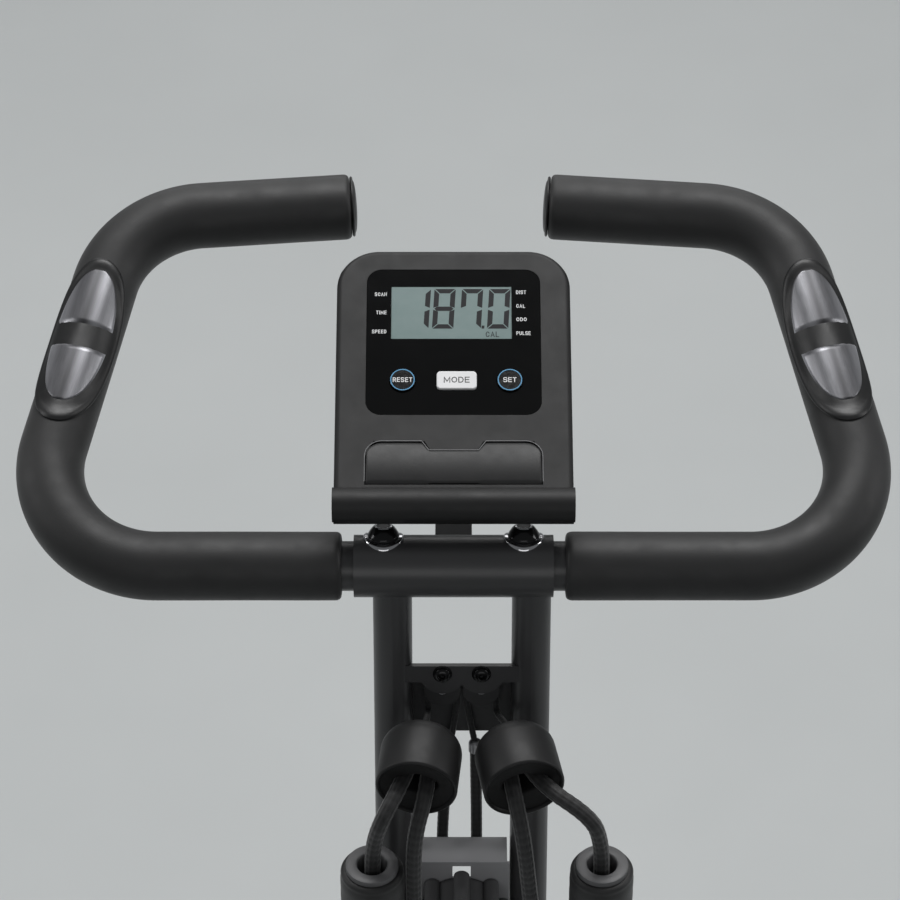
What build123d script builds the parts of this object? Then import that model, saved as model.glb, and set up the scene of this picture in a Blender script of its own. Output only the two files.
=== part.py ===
from build123d import *
from math import sin, cos, tan, radians, degrees, atan2, hypot, pi
import os

os.makedirs("parts", exist_ok=True)

# ---------------------------------------------------------------- dimensions
# Millimetres. X is the rider's right, Y points forward, Z up, floor at Z = 0.
YO = -31.2              # puts the middle of the whole bike over the origin
BAR_X = -4.3            # handlebar, clamp and console sit a little left of the mast

BAR_Y, BAR_Z = 260.0, 1085.0      # axis of the lower handlebar
LOOP_TILT = 20.5                  # handlebar loop above the horizontal
MAST_TILT = 77.5                  # mast above the horizontal
LEG_TILT = 60.0                   # rear leg above the horizontal

BAR_D, BAR_WALL = 25.4, 2.0
FOAM_D = 35.0
LOOP_BOTTOM_HALF = 222.2          # corner of the loop, lower
LOOP_TOP_HALF = 175.6             # corner of the loop, upper
LOOP_HEIGHT = 207.1
HORN_TIP = {-1: 54.8, 1: 51.2}     # the two horn tips stop short of each other
HORN_TIP_V = 215.8
CLAMP_D, CLAMP_HALF = 31.8, 50.6
BOLT_ANGLE = 72.0                 # of the clamp bolts, counted from +Y

TUBE_D, TUBE_WALL = 20.0, 2.0     # the two mast tubes
TUBE_X = 35.5
STUB_V = -30.0                    # where the clamp stubs meet the mast tubes
BEND_V = -262.0                   # where the mast tubes bend back into the rear leg

STAB_D, STAB_Z, STAB_HALF = 45.0, 33.0, 200.0
CAP_END = 231.0
WHEEL_OUT = 50.0                  # transport wheels, ahead of the front stabiliser

PIVOT_Z = 430.0
PIN_R = 55.0                      # fold pin from the pivot
FOLD_MAX = 36.0                   # degrees

LEG_W, LEG_H, LEG_WALL = 38.0, 44.0, 2.5
POST_W, POST_H = 28.0, 34.0
UPPER_DIR = 125.0                 # seat tube, counted from +Y
POST_TRAVEL = 80.0

CRANK_S = 300.0                   # crank axle from the pivot, down the front leg
CRANK_LEN = 125.0
CRANK_ANGLE = -25.0
FLY_DIST, FLY_ANGLE = 150.0, 62.0
FLY_R = 90.0
BIG_PULLEY_R, SMALL_PULLEY_R = 100.0, 12.5
SHROUD_R1, SHROUD_R2, SHROUD_HALF = 125.0, 112.0, 50.0

PULLEY_X, PULLEY_V, WHEEL_V = 10.0, -59.5, -72.0    # screws in the front plate; wheels below them
ROPE_D, ROPE_R = 3.4, 7.5
SLEEVE_D = 6.2

SADDLE_Z = 784.0

# ---------------------------------------------------------------- frames
SIDE = Plane(origin=(0, YO, 0), x_dir=(0, 1, 0), z_dir=(1, 0, 0))   # (y, z) sketches
MN = (0, -sin(radians(MAST_TILT)), cos(radians(MAST_TILT)))
MU = (0, cos(radians(MAST_TILT)), sin(radians(MAST_TILT)))
LN = (0, -sin(radians(LOOP_TILT)), cos(radians(LOOP_TILT)))
LU = (0, cos(radians(LOOP_TILT)), sin(radians(LOOP_TILT)))
BOLT_DIR = (0, cos(radians(BOLT_ANGLE)), sin(radians(BOLT_ANGLE)))
MAST = Plane(origin=(0, BAR_Y + YO, BAR_Z), x_dir=(1, 0, 0), z_dir=MN)
LOOP = Plane(origin=(BAR_X, BAR_Y + YO, BAR_Z), x_dir=(1, 0, 0), z_dir=LN)


def mast_yz(v, n=0.0):
    """Mast coordinates to the (y, z) of a side sketch."""
    return (BAR_Y + v * MU[1] + n * MN[1], BAR_Z + v * MU[2] + n * MN[2])


def mast_pt(x, v, n):
    y, z = mast_yz(v, n)
    return Vector(x, y + YO, z)


def loop_pt(u, v, n):
    return Vector(BAR_X + u, BAR_Y + YO + v * LU[1] + n * LN[1], BAR_Z + v * LU[2] + n * LN[2])


BEND = mast_yz(BEND_V)
_down = (BEND[1] - STAB_Z) / sin(radians(LEG_TILT))
REAR_Y = BEND[0] - _down * cos(radians(LEG_TILT))
PIVOT_Y = BEND[0] - (BEND[1] - PIVOT_Z) / tan(radians(LEG_TILT))
PIVOT = (PIVOT_Y, PIVOT_Z)
FRONT_Y = PIVOT_Y + (PIVOT_Z - STAB_Z)
CRANK = (PIVOT_Y + CRANK_S * cos(radians(45)), PIVOT_Z - CRANK_S * sin(radians(45)))
FLY = (CRANK[0] + FLY_DIST * cos(radians(FLY_ANGLE)), CRANK[1] + FLY_DIST * sin(radians(FLY_ANGLE)))
UD = (cos(radians(UPPER_DIR)), sin(radians(UPPER_DIR)))
LEG_TOP = 255.0


def seat_yz(s, t=0.0):
    """Along the seat tube from the pivot (s), and square to it towards the front (t)."""
    return (PIVOT[0] + s * UD[0] + t * UD[1], PIVOT[1] + s * UD[1] - t * UD[0])


def seat_plane(s, t):
    """Square to the seat tube's front face, t in front of its middle line."""
    y, z = seat_yz(s, t)
    return Plane(origin=(0, y + YO, z), x_dir=(1, 0, 0), z_dir=(0, UD[1], -UD[0]))


SEAT_PIN_S = 228.0
_fd = radians(FLY_ANGLE + 180)
MAGNET_PIN = (FLY[0] + 112 * cos(_fd), FLY[1] + 112 * sin(_fd))


def save(part, name):
    part.label = name
    export_step(part, "parts/" + name + ".step")


# ================================================================ handlebar
# One bent tube: lower bar, two rounded sides and two horns that stop short of each other.
with BuildLine(LOOP) as loop_line:
    FilletPolyline(
        (-HORN_TIP[-1], HORN_TIP_V), (-LOOP_TOP_HALF, LOOP_HEIGHT), (-LOOP_BOTTOM_HALF, 0),
        (LOOP_BOTTOM_HALF, 0), (LOOP_TOP_HALF, LOOP_HEIGHT), (HORN_TIP[1], HORN_TIP_V),
        radius=[55, 57, 57, 55])
with BuildPart() as handlebar:
    with BuildSketch(Plane(origin=loop_line.line @ 0, z_dir=loop_line.line % 0)):
        Circle(BAR_D / 2)
        Circle(BAR_D / 2 - BAR_WALL, mode=Mode.SUBTRACT)
    sweep(path=loop_line.line)
save(handlebar.part, "handlebar")

# The side of the loop runs straight between its two bends; the pulse housing is there.
_sx = LOOP_BOTTOM_HALF - LOOP_TOP_HALF
_sl = hypot(_sx, LOOP_HEIGHT)
SIDE_DIR = (_sx / _sl, LOOP_HEIGHT / _sl)       # up the left side (mirrored on the right)
HOUSE_LOW, HOUSE_HIGH = 86.0, 158.0             # v of the housing's two ends


def side_u(v):
    return -LOOP_BOTTOM_HALF + v * _sx / LOOP_HEIGHT


def loop_path(points, radii, sign):
    with BuildLine(LOOP) as ln:
        FilletPolyline(*[(-sign * p[0], p[1]) for p in points], radius=radii)
    return ln.line


def foam_grip(sign):
    low = loop_path([(-56.8, 0), (-LOOP_BOTTOM_HALF, 0), (side_u(HOUSE_LOW - 0.3), HOUSE_LOW - 0.3)], [57], sign)
    high = loop_path([(side_u(HOUSE_HIGH + 0.3), HOUSE_HIGH + 0.3), (-LOOP_TOP_HALF, LOOP_HEIGHT),
                      (-HORN_TIP[sign] - 0.4, HORN_TIP_V - 0.03)], [55], sign)
    with BuildPart() as foam:
        for line in (low, high):
            with BuildSketch(Plane(origin=line @ 0, z_dir=line % 0)):
                Circle(FOAM_D / 2)
                Circle(BAR_D / 2 + 0.1, mode=Mode.SUBTRACT)
            sweep(path=line)
    return foam.part


save(foam_grip(-1), "foam_grip_left")
save(foam_grip(1), "foam_grip_right")

# Pulse housings: a plastic shell round each side tube between the two foams, with two
# steel plates let into its upper face.
def side_plane(sign, v):
    """Square to the side tube at height v in the loop, x across the tube in the loop's plane."""
    o = loop_pt(sign * -side_u(v), v, 0)
    d = Vector(*[-sign * SIDE_DIR[0] * a + SIDE_DIR[1] * b for a, b in zip((1, 0, 0), LU)])
    return Plane(origin=o, x_dir=d.cross(Vector(*LN)), z_dir=d)


HOUSE_LEN = (HOUSE_HIGH - HOUSE_LOW) / SIDE_DIR[1]
with BuildPart() as pulse_housings:
    for sign in (-1, 1):
        with BuildSketch(side_plane(sign, HOUSE_LOW)):
            Circle(FOAM_D / 2 + 0.4)
            Circle(BAR_D / 2 + 0.1, mode=Mode.SUBTRACT)
        extrude(amount=HOUSE_LEN)
        # two shallow beds for the plates, on the side facing up out of the loop
        for a, b in ((4.0, 31.0), (38.0, 69.0)):
            with BuildSketch(side_plane(sign, HOUSE_LOW).offset(a)):
                Circle(FOAM_D / 2 + 1.0)
                Circle(FOAM_D / 2 - 0.9, mode=Mode.SUBTRACT)
                with Locations((0, -20)):
                    Rectangle(60, 40 - 2 * 3.0, mode=Mode.SUBTRACT)
            extrude(amount=b - a, mode=Mode.SUBTRACT)
with BuildPart() as pulse_plates:
    for sign in (-1, 1):
        for a, b in ((4.1, 30.9), (38.1, 68.9)):
            with BuildSketch(side_plane(sign, HOUSE_LOW).offset(a)):
                Circle(FOAM_D / 2 + 0.3)
                Circle(FOAM_D / 2 - 0.85, mode=Mode.SUBTRACT)
                with Locations((0, -20)):
                    Rectangle(60, 40 - 2 * 2.9, mode=Mode.SUBTRACT)
            extrude(amount=b - a)
save(pulse_housings.part, "pulse_housings")
save(pulse_plates.part, "pulse_plates")

# Domed plugs in the horn tips.
with BuildPart() as horn_caps:
    for sign in (-1, 1):
        d = Vector(*[-sign * a for a in (1, 0, 0)]) * cos(radians(3.9)) + Vector(*LU) * sin(radians(3.9))
        tip = Plane(origin=loop_pt(sign * HORN_TIP[sign], HORN_TIP_V, 0), z_dir=d)
        with BuildSketch(tip.offset(0.05)):
            Circle(BAR_D / 2 + 1.5)
        extrude(amount=3.0, taper=24)
        with BuildSketch(tip.offset(0.05)):
            Circle(BAR_D / 2 - BAR_WALL - 0.05)
        extrude(amount=-16)
save(horn_caps.part, "horn_caps")

# ================================================================ clamp head
STUB_TOP = 0.0
with BuildPart() as clamp_head:
    with BuildSketch(Plane(origin=loop_pt(-CLAMP_HALF, 0, 0), z_dir=(1, 0, 0))):
        Circle(CLAMP_D / 2)
    extrude(amount=2 * CLAMP_HALF)
    for sign in (-1, 1):
        with BuildSketch(Plane(origin=mast_pt(sign * TUBE_X, STUB_V, 0), z_dir=MU)):
            Circle(TUBE_D / 2)
        extrude(amount=-STUB_V)
        with BuildSketch(Plane(origin=mast_pt(sign * TUBE_X, STUB_V, 0), z_dir=MU)):
            Circle(TUBE_D / 2 - TUBE_WALL - 0.05)
        extrude(amount=-34)
    with BuildSketch(Plane(origin=loop_pt(-CLAMP_HALF - 1, 0, 0), z_dir=(1, 0, 0))):
        Circle(BAR_D / 2 + 0.05)
    extrude(amount=2 * CLAMP_HALF + 2, mode=Mode.SUBTRACT)
    # the console bracket's seat, a neck that rises from the top of the clamp
    with BuildSketch(Plane(origin=loop_pt(-9.4, 0, 0), x_dir=LU, z_dir=(-1, 0, 0))):
        with BuildLine():
            Polyline(*[(v, n) for v, n in ((6.5, 11.0), (10.4, 12.6), (20.0, 17.45), (36.0, 17.45),
                                           (36.0, 14.0), (13.0, 6.0), (6.5, 11.0))])
        make_face()
    extrude(amount=-18.8)
    with BuildSketch(Plane(origin=loop_pt(-CLAMP_HALF - 1, 0, 0), z_dir=(1, 0, 0))):
        Circle(BAR_D / 2 + 0.05)
    extrude(amount=2 * CLAMP_HALF + 2, mode=Mode.SUBTRACT)
    # slit of the clamp, along its underside towards the front
    with BuildSketch(Plane(origin=loop_pt(-CLAMP_HALF - 1, 0, 0), x_dir=LU, z_dir=(1, 0, 0))):
        with Locations((14, 0)):
            Rectangle(12, 1.6)
    extrude(amount=2 * CLAMP_HALF + 2, mode=Mode.SUBTRACT)
    # holes of the two clamp bolts, which lean back from the loop's square
    for sign in (-1, 1):
        with BuildSketch(Plane(origin=loop_pt(sign * TUBE_X, 0, 0), x_dir=(1, 0, 0), z_dir=BOLT_DIR)):
            Circle(3.05)
        extrude(amount=20.0, mode=Mode.SUBTRACT)
save(clamp_head.part, "clamp_head")


def bolt_plane(sign, r):
    """Square to a clamp bolt, r from the middle of the clamp."""
    o = loop_pt(sign * TUBE_X, 0, 0) + Vector(*BOLT_DIR) * r
    return Plane(origin=o, x_dir=(1, 0, 0), z_dir=BOLT_DIR)


# Each bolt: a saddle washer bent to the clamp, a domed head with a hexagon socket, a shank.
with BuildPart() as clamp_bolts:
    for sign in (-1, 1):
        with BuildSketch(bolt_plane(sign, 6.0)):
            Circle(10.2)
        extrude(amount=11.0)
        with BuildSketch(bolt_plane(sign, 16.9)):
            Circle(7.6)
        extrude(amount=5.4, taper=24)
    with BuildSketch(Plane(origin=loop_pt(-CLAMP_HALF - 1, 0, 0), z_dir=(1, 0, 0))):
        Circle(CLAMP_D / 2 + 0.04)
    extrude(amount=2 * CLAMP_HALF + 2, mode=Mode.SUBTRACT)
    for sign in (-1, 1):
        with BuildSketch(bolt_plane(sign, 12.9)):
            Circle(3.0)
        extrude(amount=4.5)
        with BuildSketch(bolt_plane(sign, 22.4)):
            RegularPolygon(3.4, 6)
        extrude(amount=-3.4, mode=Mode.SUBTRACT)
save(clamp_bolts.part, "clamp_bolts")

# ================================================================ console
CON_W, CON_LOW, CON_TOP = 121.0, 10.5, 167.0
CON_FACE = 35.0
with BuildPart() as console_bracket:
    with BuildSketch(LOOP.offset(17.5)):
        with Locations((0, 46)):
            Rectangle(18, 52)
    extrude(amount=3.0)
    with BuildSketch(LOOP.offset(17.5)):
        with Locations((0, 60)):
            RectangleRounded(60, 44, 5)
    extrude(amount=3.0)
save(console_bracket.part, "console_bracket")

with BuildPart() as console_back:
    with BuildSketch(LOOP.offset(20.5)):
        with Locations((0, (20 + 160) / 2)):
            RectangleRounded(CON_W - 12, 140, 14)
    with BuildSketch(LOOP.offset(26.0)):
        with Locations((0, (CON_LOW + CON_TOP) / 2)):
            RectangleRounded(CON_W - 1, CON_TOP - CON_LOW - 1, 14)
    loft()
    with BuildSketch(LOOP.offset(26.0)):
        with Locations((0, (CON_LOW + CON_TOP) / 2)):
            RectangleRounded(CON_W - 18, CON_TOP - CON_LOW - 28, 12)
    extrude(amount=-3.2, mode=Mode.SUBTRACT)
save(console_back.part, "console_back")

WIN_U, WIN_LOW, WIN_TOP = 45.0, 68.3, 154.9
FLAP_LOW, FLAP_TOP = 28.0, 53.2
with BuildPart() as console_front:
    with BuildSketch(LOOP.offset(26.05)):
        with Locations((0, (CON_LOW + CON_TOP) / 2)):
            Rectangle(CON_W, CON_TOP - CON_LOW)
    extrude(amount=CON_FACE - 26.05)
    fillet(console_front.edges().filter_by(lambda e: abs(Vector(*LN).dot(e % 0.5)) > 0.99).sort_by(
        lambda e: (e @ 0.5).Y)[-2:], 22)
    fillet(console_front.faces().sort_by(lambda f: f.center().dot(Vector(*LN)))[-1].edges(), 3.0)
    # rolled ledge that a phone or a tablet stands on
    with BuildSketch(Plane(origin=loop_pt(-CON_W / 2 - 0.6, 18.3, CON_FACE - 3.0), x_dir=LU, z_dir=(1, 0, 0))):
        Circle(8.8)
    extrude(amount=CON_W + 1.2)
    with BuildSketch(LOOP.offset(26.05)):
        with Locations((0, 10)):
            Rectangle(CON_W + 20, 60)
    extrude(amount=-8, mode=Mode.SUBTRACT)
    # hollow inside
    with BuildSketch(LOOP.offset(26.05)):
        with Locations((0, (CON_LOW + CON_TOP) / 2 + 4)):
            RectangleRounded(CON_W - 5.4, CON_TOP - CON_LOW - 13.4, 19.4)
    extrude(amount=CON_FACE - 26.05 - 2.5, mode=Mode.SUBTRACT)
    # window, and the bed of the flap
    with BuildSketch(LOOP.offset(CON_FACE + 1)):
        with Locations((0, (WIN_LOW + WIN_TOP) / 2)):
            RectangleRounded(2 * WIN_U, WIN_TOP - WIN_LOW, 8)
    extrude(amount=-8, mode=Mode.SUBTRACT)
    with BuildSketch(LOOP.offset(CON_FACE + 1)):
        with BuildLine():
            Polyline((-45.0, 28.2), (-45.0, 44.1), (-40.8, 53.2), (-14.8, 53.2), (-11.8, 48.0), (12.2, 48.0),
                     (15.2, 53.2), (40.8, 53.2), (45.0, 46.1), (45.0, 28.2), (-45.0, 28.2))
        make_face()
    extrude(amount=-4.2, mode=Mode.SUBTRACT)
save(console_front.part, "console_front")

LCD_LOW, LCD_TOP, LCD_L, LCD_R = 113.3, 144.9, -32.3, 30.1
BTN_V, BTN_U, MODE_U = 88.4, (-26.1, 28.8), 1.6
with BuildPart() as console_window:
    with BuildSketch(LOOP.offset(CON_FACE - 2.4)):
        with Locations((0, (WIN_LOW + WIN_TOP) / 2)):
            RectangleRounded(2 * WIN_U - 0.3, WIN_TOP - WIN_LOW - 0.3, 7.9)
    extrude(amount=2.2)
    with BuildSketch(LOOP.offset(CON_FACE)):
        with Locations(((LCD_L + LCD_R) / 2, (LCD_LOW + LCD_TOP) / 2)):
            Rectangle(LCD_R - LCD_L, LCD_TOP - LCD_LOW)
        for u in BTN_U:
            with Locations((u, BTN_V)):
                Circle(6.9)
        with Locations((MODE_U, BTN_V)):
            RectangleRounded(21.4, 11.2, 2.6)
    extrude(amount=-3, mode=Mode.SUBTRACT)
save(console_window.part, "console_window")
with BuildPart() as lcd_screen:
    with BuildSketch(LOOP.offset(CON_FACE - 3.6)):
        with Locations(((LCD_L + LCD_R) / 2, (LCD_LOW + LCD_TOP) / 2)):
            Rectangle(LCD_R - LCD_L - 0.4, LCD_TOP - LCD_LOW - 0.4)
    extrude(amount=3.0)
    with BuildSketch(LOOP.offset(CON_FACE - 5.0)):
        with Locations(((LCD_L + LCD_R) / 2, (LCD_LOW + LCD_TOP) / 2)):
            Rectangle(LCD_R - LCD_L + 8, LCD_TOP - LCD_LOW + 6)
    extrude(amount=2.3)
save(lcd_screen.part, "lcd_screen")


def button(name, u, w, h, r):
    with BuildPart() as b:
        with BuildSketch(LOOP.offset(CON_FACE - 2.0)):
            with Locations((u, BTN_V)):
                if r:
                    RectangleRounded(w, h, r)
                else:
                    Circle(w / 2)
        extrude(amount=3.0)
        fillet(b.faces().sort_by(lambda f: f.center().dot(Vector(*LN)))[-1].edges(), 0.6)
        with BuildSketch(LOOP.offset(CON_FACE - 5.0)):
            with Locations((u, BTN_V)):
                Circle(1.6)
        extrude(amount=3.2)
    save(b.part, name)


button("button_reset", BTN_U[0], 13.0, 13.0, 0)
button("button_mode", MODE_U, 20.6, 10.4, 2.2)
button("button_set", BTN_U[1], 13.0, 13.0, 0)

# Flap that swings up to hold a tablet, with its two hinge pins.
with BuildPart() as tablet_flap:
    with BuildSketch(LOOP.offset(CON_FACE - 2.4)):
        with BuildLine():
            Polyline((-44.6, 28.6), (-44.6, 44.0), (-40.5, 52.8), (-15.0, 52.8), (-12.0, 47.6), (12.4, 47.6),
                     (15.4, 52.8), (40.5, 52.8), (44.6, 46.0), (44.6, 28.6), (-44.6, 28.6))
        make_face()
    extrude(amount=2.2)
    with BuildSketch(Plane(origin=loop_pt(-44.6, 31.0, CON_FACE - 1.6), x_dir=LU, z_dir=(1, 0, 0))):
        Circle(1.4)
    extrude(amount=89.2)
save(tablet_flap.part, "tablet_flap")

# ================================================================ mast and rear leg
mast_line = [mast_yz(STUB_V), BEND, (REAR_Y, STAB_Z)]
BR2 = (BEND[0] - 250 * cos(radians(LEG_TILT)), BEND[1] - 250 * sin(radians(LEG_TILT)))
PIN_AT = (PIVOT[0] + PIN_R * cos(radians(LEG_TILT)), PIVOT[1] + PIN_R * sin(radians(LEG_TILT)))
with BuildPart() as mast_frame:
    for sign in (-1, 1):
        with BuildLine(SIDE.offset(sign * TUBE_X)) as ml:
            FilletPolyline(*mast_line, radius=90)
        with BuildSketch(Plane(origin=ml.line @ 0, z_dir=ml.line % 0)):
            Circle(TUBE_D / 2)
        sweep(path=ml.line)
    # cross tubes: above the rear stabiliser, at the sleeves' lower end, under the knob
    for p, r in (((REAR_Y + 80, STAB_Z + 80 * tan(radians(LEG_TILT))), 9.0), (mast_yz(BEND_V + 22, 5), 3.6)):
        with BuildSketch(SIDE.offset(-TUBE_X)):
            with Locations(p):
                Circle(r)
        extrude(amount=2 * TUBE_X)
    with BuildSketch(Plane(origin=(0, BR2[0] + YO, BR2[1]), x_dir=(1, 0, 0),
                           z_dir=(0, cos(radians(LEG_TILT)), sin(radians(LEG_TILT))))):
        Rectangle(2 * TUBE_X, 16)
    extrude(amount=4)
    # bosses of the main pivot and of the fold pin
    for sign in (-1, 1):
        with BuildSketch(SIDE.offset(sign * 25.0)):
            with Locations(PIVOT):
                Circle(14)
        extrude(amount=sign * 22.0)
    with BuildSketch(SIDE.offset(25.0)):
        with Locations(PIN_AT):
            Circle(9)
    extrude(amount=23.0)
    # plates that carry the rope pulleys: a short one in front, a deeper one behind
    with BuildSketch(MAST.offset(5.0)) as front_plate:
        with Locations((0, -59.85)):
            Rectangle(2 * TUBE_X - 12, 9.7)
        with Locations((-PULLEY_X, PULLEY_V), (PULLEY_X, PULLEY_V)):
            Circle(12.0)
        with Locations((0, -45)):
            Rectangle(100, 20, mode=Mode.SUBTRACT)
    extrude(amount=3.0)
    with BuildSketch(MAST.offset(-8.5)):
        with Locations((0, -84.0)):
            Rectangle(2 * TUBE_X - 12, 38)
    extrude(amount=3.0)
    with BuildSketch(MAST.offset(9)):
        with Locations((-PULLEY_X, PULLEY_V), (PULLEY_X, PULLEY_V)):
            Circle(2.55)
    extrude(amount=-6, mode=Mode.SUBTRACT)
    with BuildSketch(MAST.offset(-4)):
        with Locations((-PULLEY_X, WHEEL_V), (PULLEY_X, WHEEL_V)):
            Circle(2.55)
    extrude(amount=-6, mode=Mode.SUBTRACT)
    # bores
    for sign in (-1, 1):
        with BuildLine(SIDE.offset(sign * TUBE_X)) as ml:
            FilletPolyline(*mast_line, radius=90)
        with BuildSketch(Plane(origin=ml.line @ 0, z_dir=ml.line % 0)):
            Circle(TUBE_D / 2 - TUBE_WALL)
        sweep(path=ml.line, mode=Mode.SUBTRACT)
        with BuildSketch(SIDE.offset(sign * 25.0), mode=Mode.PRIVATE) as boss:
            with Locations(PIVOT):
                Circle(9)
        extrude(boss.sketch, amount=sign * 22.0)
        with BuildSketch(SIDE.offset(sign * 20.0), mode=Mode.PRIVATE) as bore:
            with Locations(PIVOT):
                Circle(6.05)
        extrude(bore.sketch, amount=sign * 40.0, mode=Mode.SUBTRACT)
    with BuildSketch(SIDE.offset(25.0), mode=Mode.PRIVATE) as pinboss:
        with Locations(PIN_AT):
            Circle(6.5)
    extrude(pinboss.sketch, amount=23.0)
    with BuildSketch(SIDE.offset(20.0), mode=Mode.PRIVATE) as pinbore:
        with Locations(PIN_AT):
            Circle(4.05)
    extrude(pinbore.sketch, amount=40.0, mode=Mode.SUBTRACT)
    # the feet of the two tubes sit on the rear stabiliser
    with BuildSketch(SIDE.offset(-60), mode=Mode.PRIVATE) as foot:
        with Locations((REAR_Y, STAB_Z)):
            Circle(STAB_D / 2)
    extrude(foot.sketch, amount=120.0, mode=Mode.SUBTRACT)
save(mast_frame.part, "mast_frame")


def stabiliser(name, y, extra=None):
    with BuildPart() as st:
        with BuildSketch(SIDE.offset(-STAB_HALF)):
            with Locations((y, STAB_Z)):
                Circle(STAB_D / 2)
                Circle(STAB_D / 2 - 2.5, mode=Mode.SUBTRACT)
        extrude(amount=2 * STAB_HALF)
        if extra:
            for x in (-148, -119, 115, 144):
                with BuildSketch(SIDE.offset(x)):
                    with BuildLine():
                        Polyline((y + 14, STAB_Z + 14), (y + 22, STAB_Z + 14), (y + 59, STAB_Z + 2), (y + 59, STAB_Z - 16),
                                 (y + 43, STAB_Z - 16), (y + 14, STAB_Z - 14), (y + 14, STAB_Z + 14))
                    make_face()
                    with Locations((y, STAB_Z)):
                        Circle(STAB_D / 2 - 1, mode=Mode.SUBTRACT)
                extrude(amount=4)
            # riveted axles of the transport wheels
            for x in (-150, 113):
                with BuildSketch(SIDE.offset(x)):
                    with Locations((y + WHEEL_OUT, 27)):
                        Circle(4.0)
                extrude(amount=37)
    save(st.part, name)


def end_caps(name, y):
    with BuildPart() as caps:
        for sign in (-1, 1):
            with BuildSketch(SIDE.offset(sign * 184)):
                with Locations((y, STAB_Z)):
                    Circle(27)
                with Locations((y, 10)):
                    Rectangle(46, 20)
            extrude(amount=sign * (CAP_END - 184))
        for sign in (-1, 1):
            fillet(caps.faces().sort_by(Axis.X)[-1 if sign > 0 else 0].edges(), 2.0)
        for sign in (-1, 1):
            with BuildSketch(SIDE.offset(sign * 183)):
                with Locations((y, STAB_Z)):
                    Circle(STAB_D / 2 + 0.05)
            extrude(amount=sign * (STAB_HALF - 183 + 0.1), mode=Mode.SUBTRACT)
    save(caps.part, name)


stabiliser("rear_stabiliser", REAR_Y)
stabiliser("front_stabiliser", FRONT_Y, True)
end_caps("rear_end_caps", REAR_Y)
end_caps("front_end_caps", FRONT_Y)

with BuildPart() as transport_wheels:
    for x in (-143.6, 119.6):
        with BuildSketch(SIDE.offset(x)):
            with Locations((FRONT_Y + WHEEL_OUT, 27)):
                Circle(22.5)
                Circle(4.1, mode=Mode.SUBTRACT)
        extrude(amount=24.0)
save(transport_wheels.part, "transport_wheels")

# ================================================================ rope pulleys and ropes
with BuildPart() as pulley_bolts:
    for sign in (-1, 1):
        with BuildSketch(MAST.offset(1.4)):
            with Locations((sign * PULLEY_X, PULLEY_V)):
                Circle(2.5)
        extrude(amount=7.0)
        # the wheel's own pin, riveted through the rear plate
        with BuildSketch(MAST.offset(-11.5)):
            with Locations((sign * PULLEY_X, WHEEL_V)):
                Circle(2.5)
        extrude(amount=16.2)
        with BuildSketch(MAST.offset(8.0)):
            with Locations((sign * PULLEY_X, PULLEY_V)):
                Circle(4.2)
        extrude(amount=2.6, taper=14)
        with BuildSketch(MAST.offset(10.7)):
            with Locations((sign * PULLEY_X, PULLEY_V)):
                RegularPolygon(1.5, 6)
        extrude(amount=-1.6, mode=Mode.SUBTRACT)
        with BuildSketch(MAST.offset(-11.8)):
            with Locations((sign * PULLEY_X, WHEEL_V)):
                RegularPolygon(4.4, 6)
        extrude(amount=3.3)
save(pulley_bolts.part, "pulley_bolts")


def pulley(name, sign):
    # turned about its bolt; the groove holds the rope with a little room
    with BuildPart() as p:
        with BuildSketch(MAST.offset(-4.0)):
            with Locations((sign * PULLEY_X, WHEEL_V)):
                Circle(9.4)
                Circle(2.55, mode=Mode.SUBTRACT)
        extrude(amount=8.4)
        axis_pt = mast_pt(sign * PULLEY_X, WHEEL_V, 0.2)
        ring = Plane(origin=axis_pt, x_dir=(1, 0, 0), z_dir=MU)
        with BuildSketch(ring):
            with Locations((ROPE_R, 0)):
                Circle(ROPE_D / 2 + 0.4)
            with Locations((ROPE_R + 1.5, 0)):
                Rectangle(3.0, ROPE_D + 0.8)
        revolve(axis=Axis(axis_pt, Vector(*MN)), mode=Mode.SUBTRACT)
    save(p.part, name)


pulley("pulley_left", -1)
pulley("pulley_right", 1)

# Stoppers: hollow bells that stop the handles at the pulleys. Each points along its own pull.
STOP_BACK = {-1: (-19.53, 212.6, 1010.15), 1: (25.0, 212.69, 1008.93)}
STOP_DIR = {-1: Vector(-4.8, -44.0, -4.0).normalized(), 1: Vector(8.5, -44.0, -2.7).normalized()}
STOP_LEN, STOP_R = 34.5, 20.9


def stop_plane(sign, along=0.0):
    x, y, z = STOP_BACK[sign]
    d = STOP_DIR[sign]
    return Plane(origin=Vector(x, y + YO, z) + d * along, x_dir=Vector(0, 0, 1).cross(d), z_dir=d)


def stopper(name, sign):
    with BuildPart() as st:
        base = stop_plane(sign)
        with BuildSketch(base):
            Circle(STOP_R)
        extrude(amount=STOP_LEN)
        fillet(st.edges().group_by(SortBy.LENGTH)[-1].sort_by(Axis.Y)[-1:], 11.5)
        with BuildSketch(stop_plane(sign, STOP_LEN - 17.0)):
            Circle(STOP_R - 2.2)
        extrude(amount=20.0, mode=Mode.SUBTRACT)
        with BuildSketch(stop_plane(sign, -1)):
            Circle(3.0)
        extrude(amount=40, mode=Mode.SUBTRACT)
        # metal eyelet ring behind is its own piece of the same node's body
    save(st.part, name)


stopper("stopper_left", -1)
stopper("stopper_right", 1)


def polar_radii(points, low):
    """Each arc as large as its two runs allow: 0.45 of the shorter run over the tangent of half the turn."""
    out = []
    for a, b, c in zip(points, points[1:], points[2:]):
        p, q = Vector(*b) - Vector(*a), Vector(*c) - Vector(*b)
        turn = p.get_angle(q)
        out.append(max(low, 0.45 * min(p.length, q.length) / tan(radians(turn / 2))))
    return out


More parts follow.
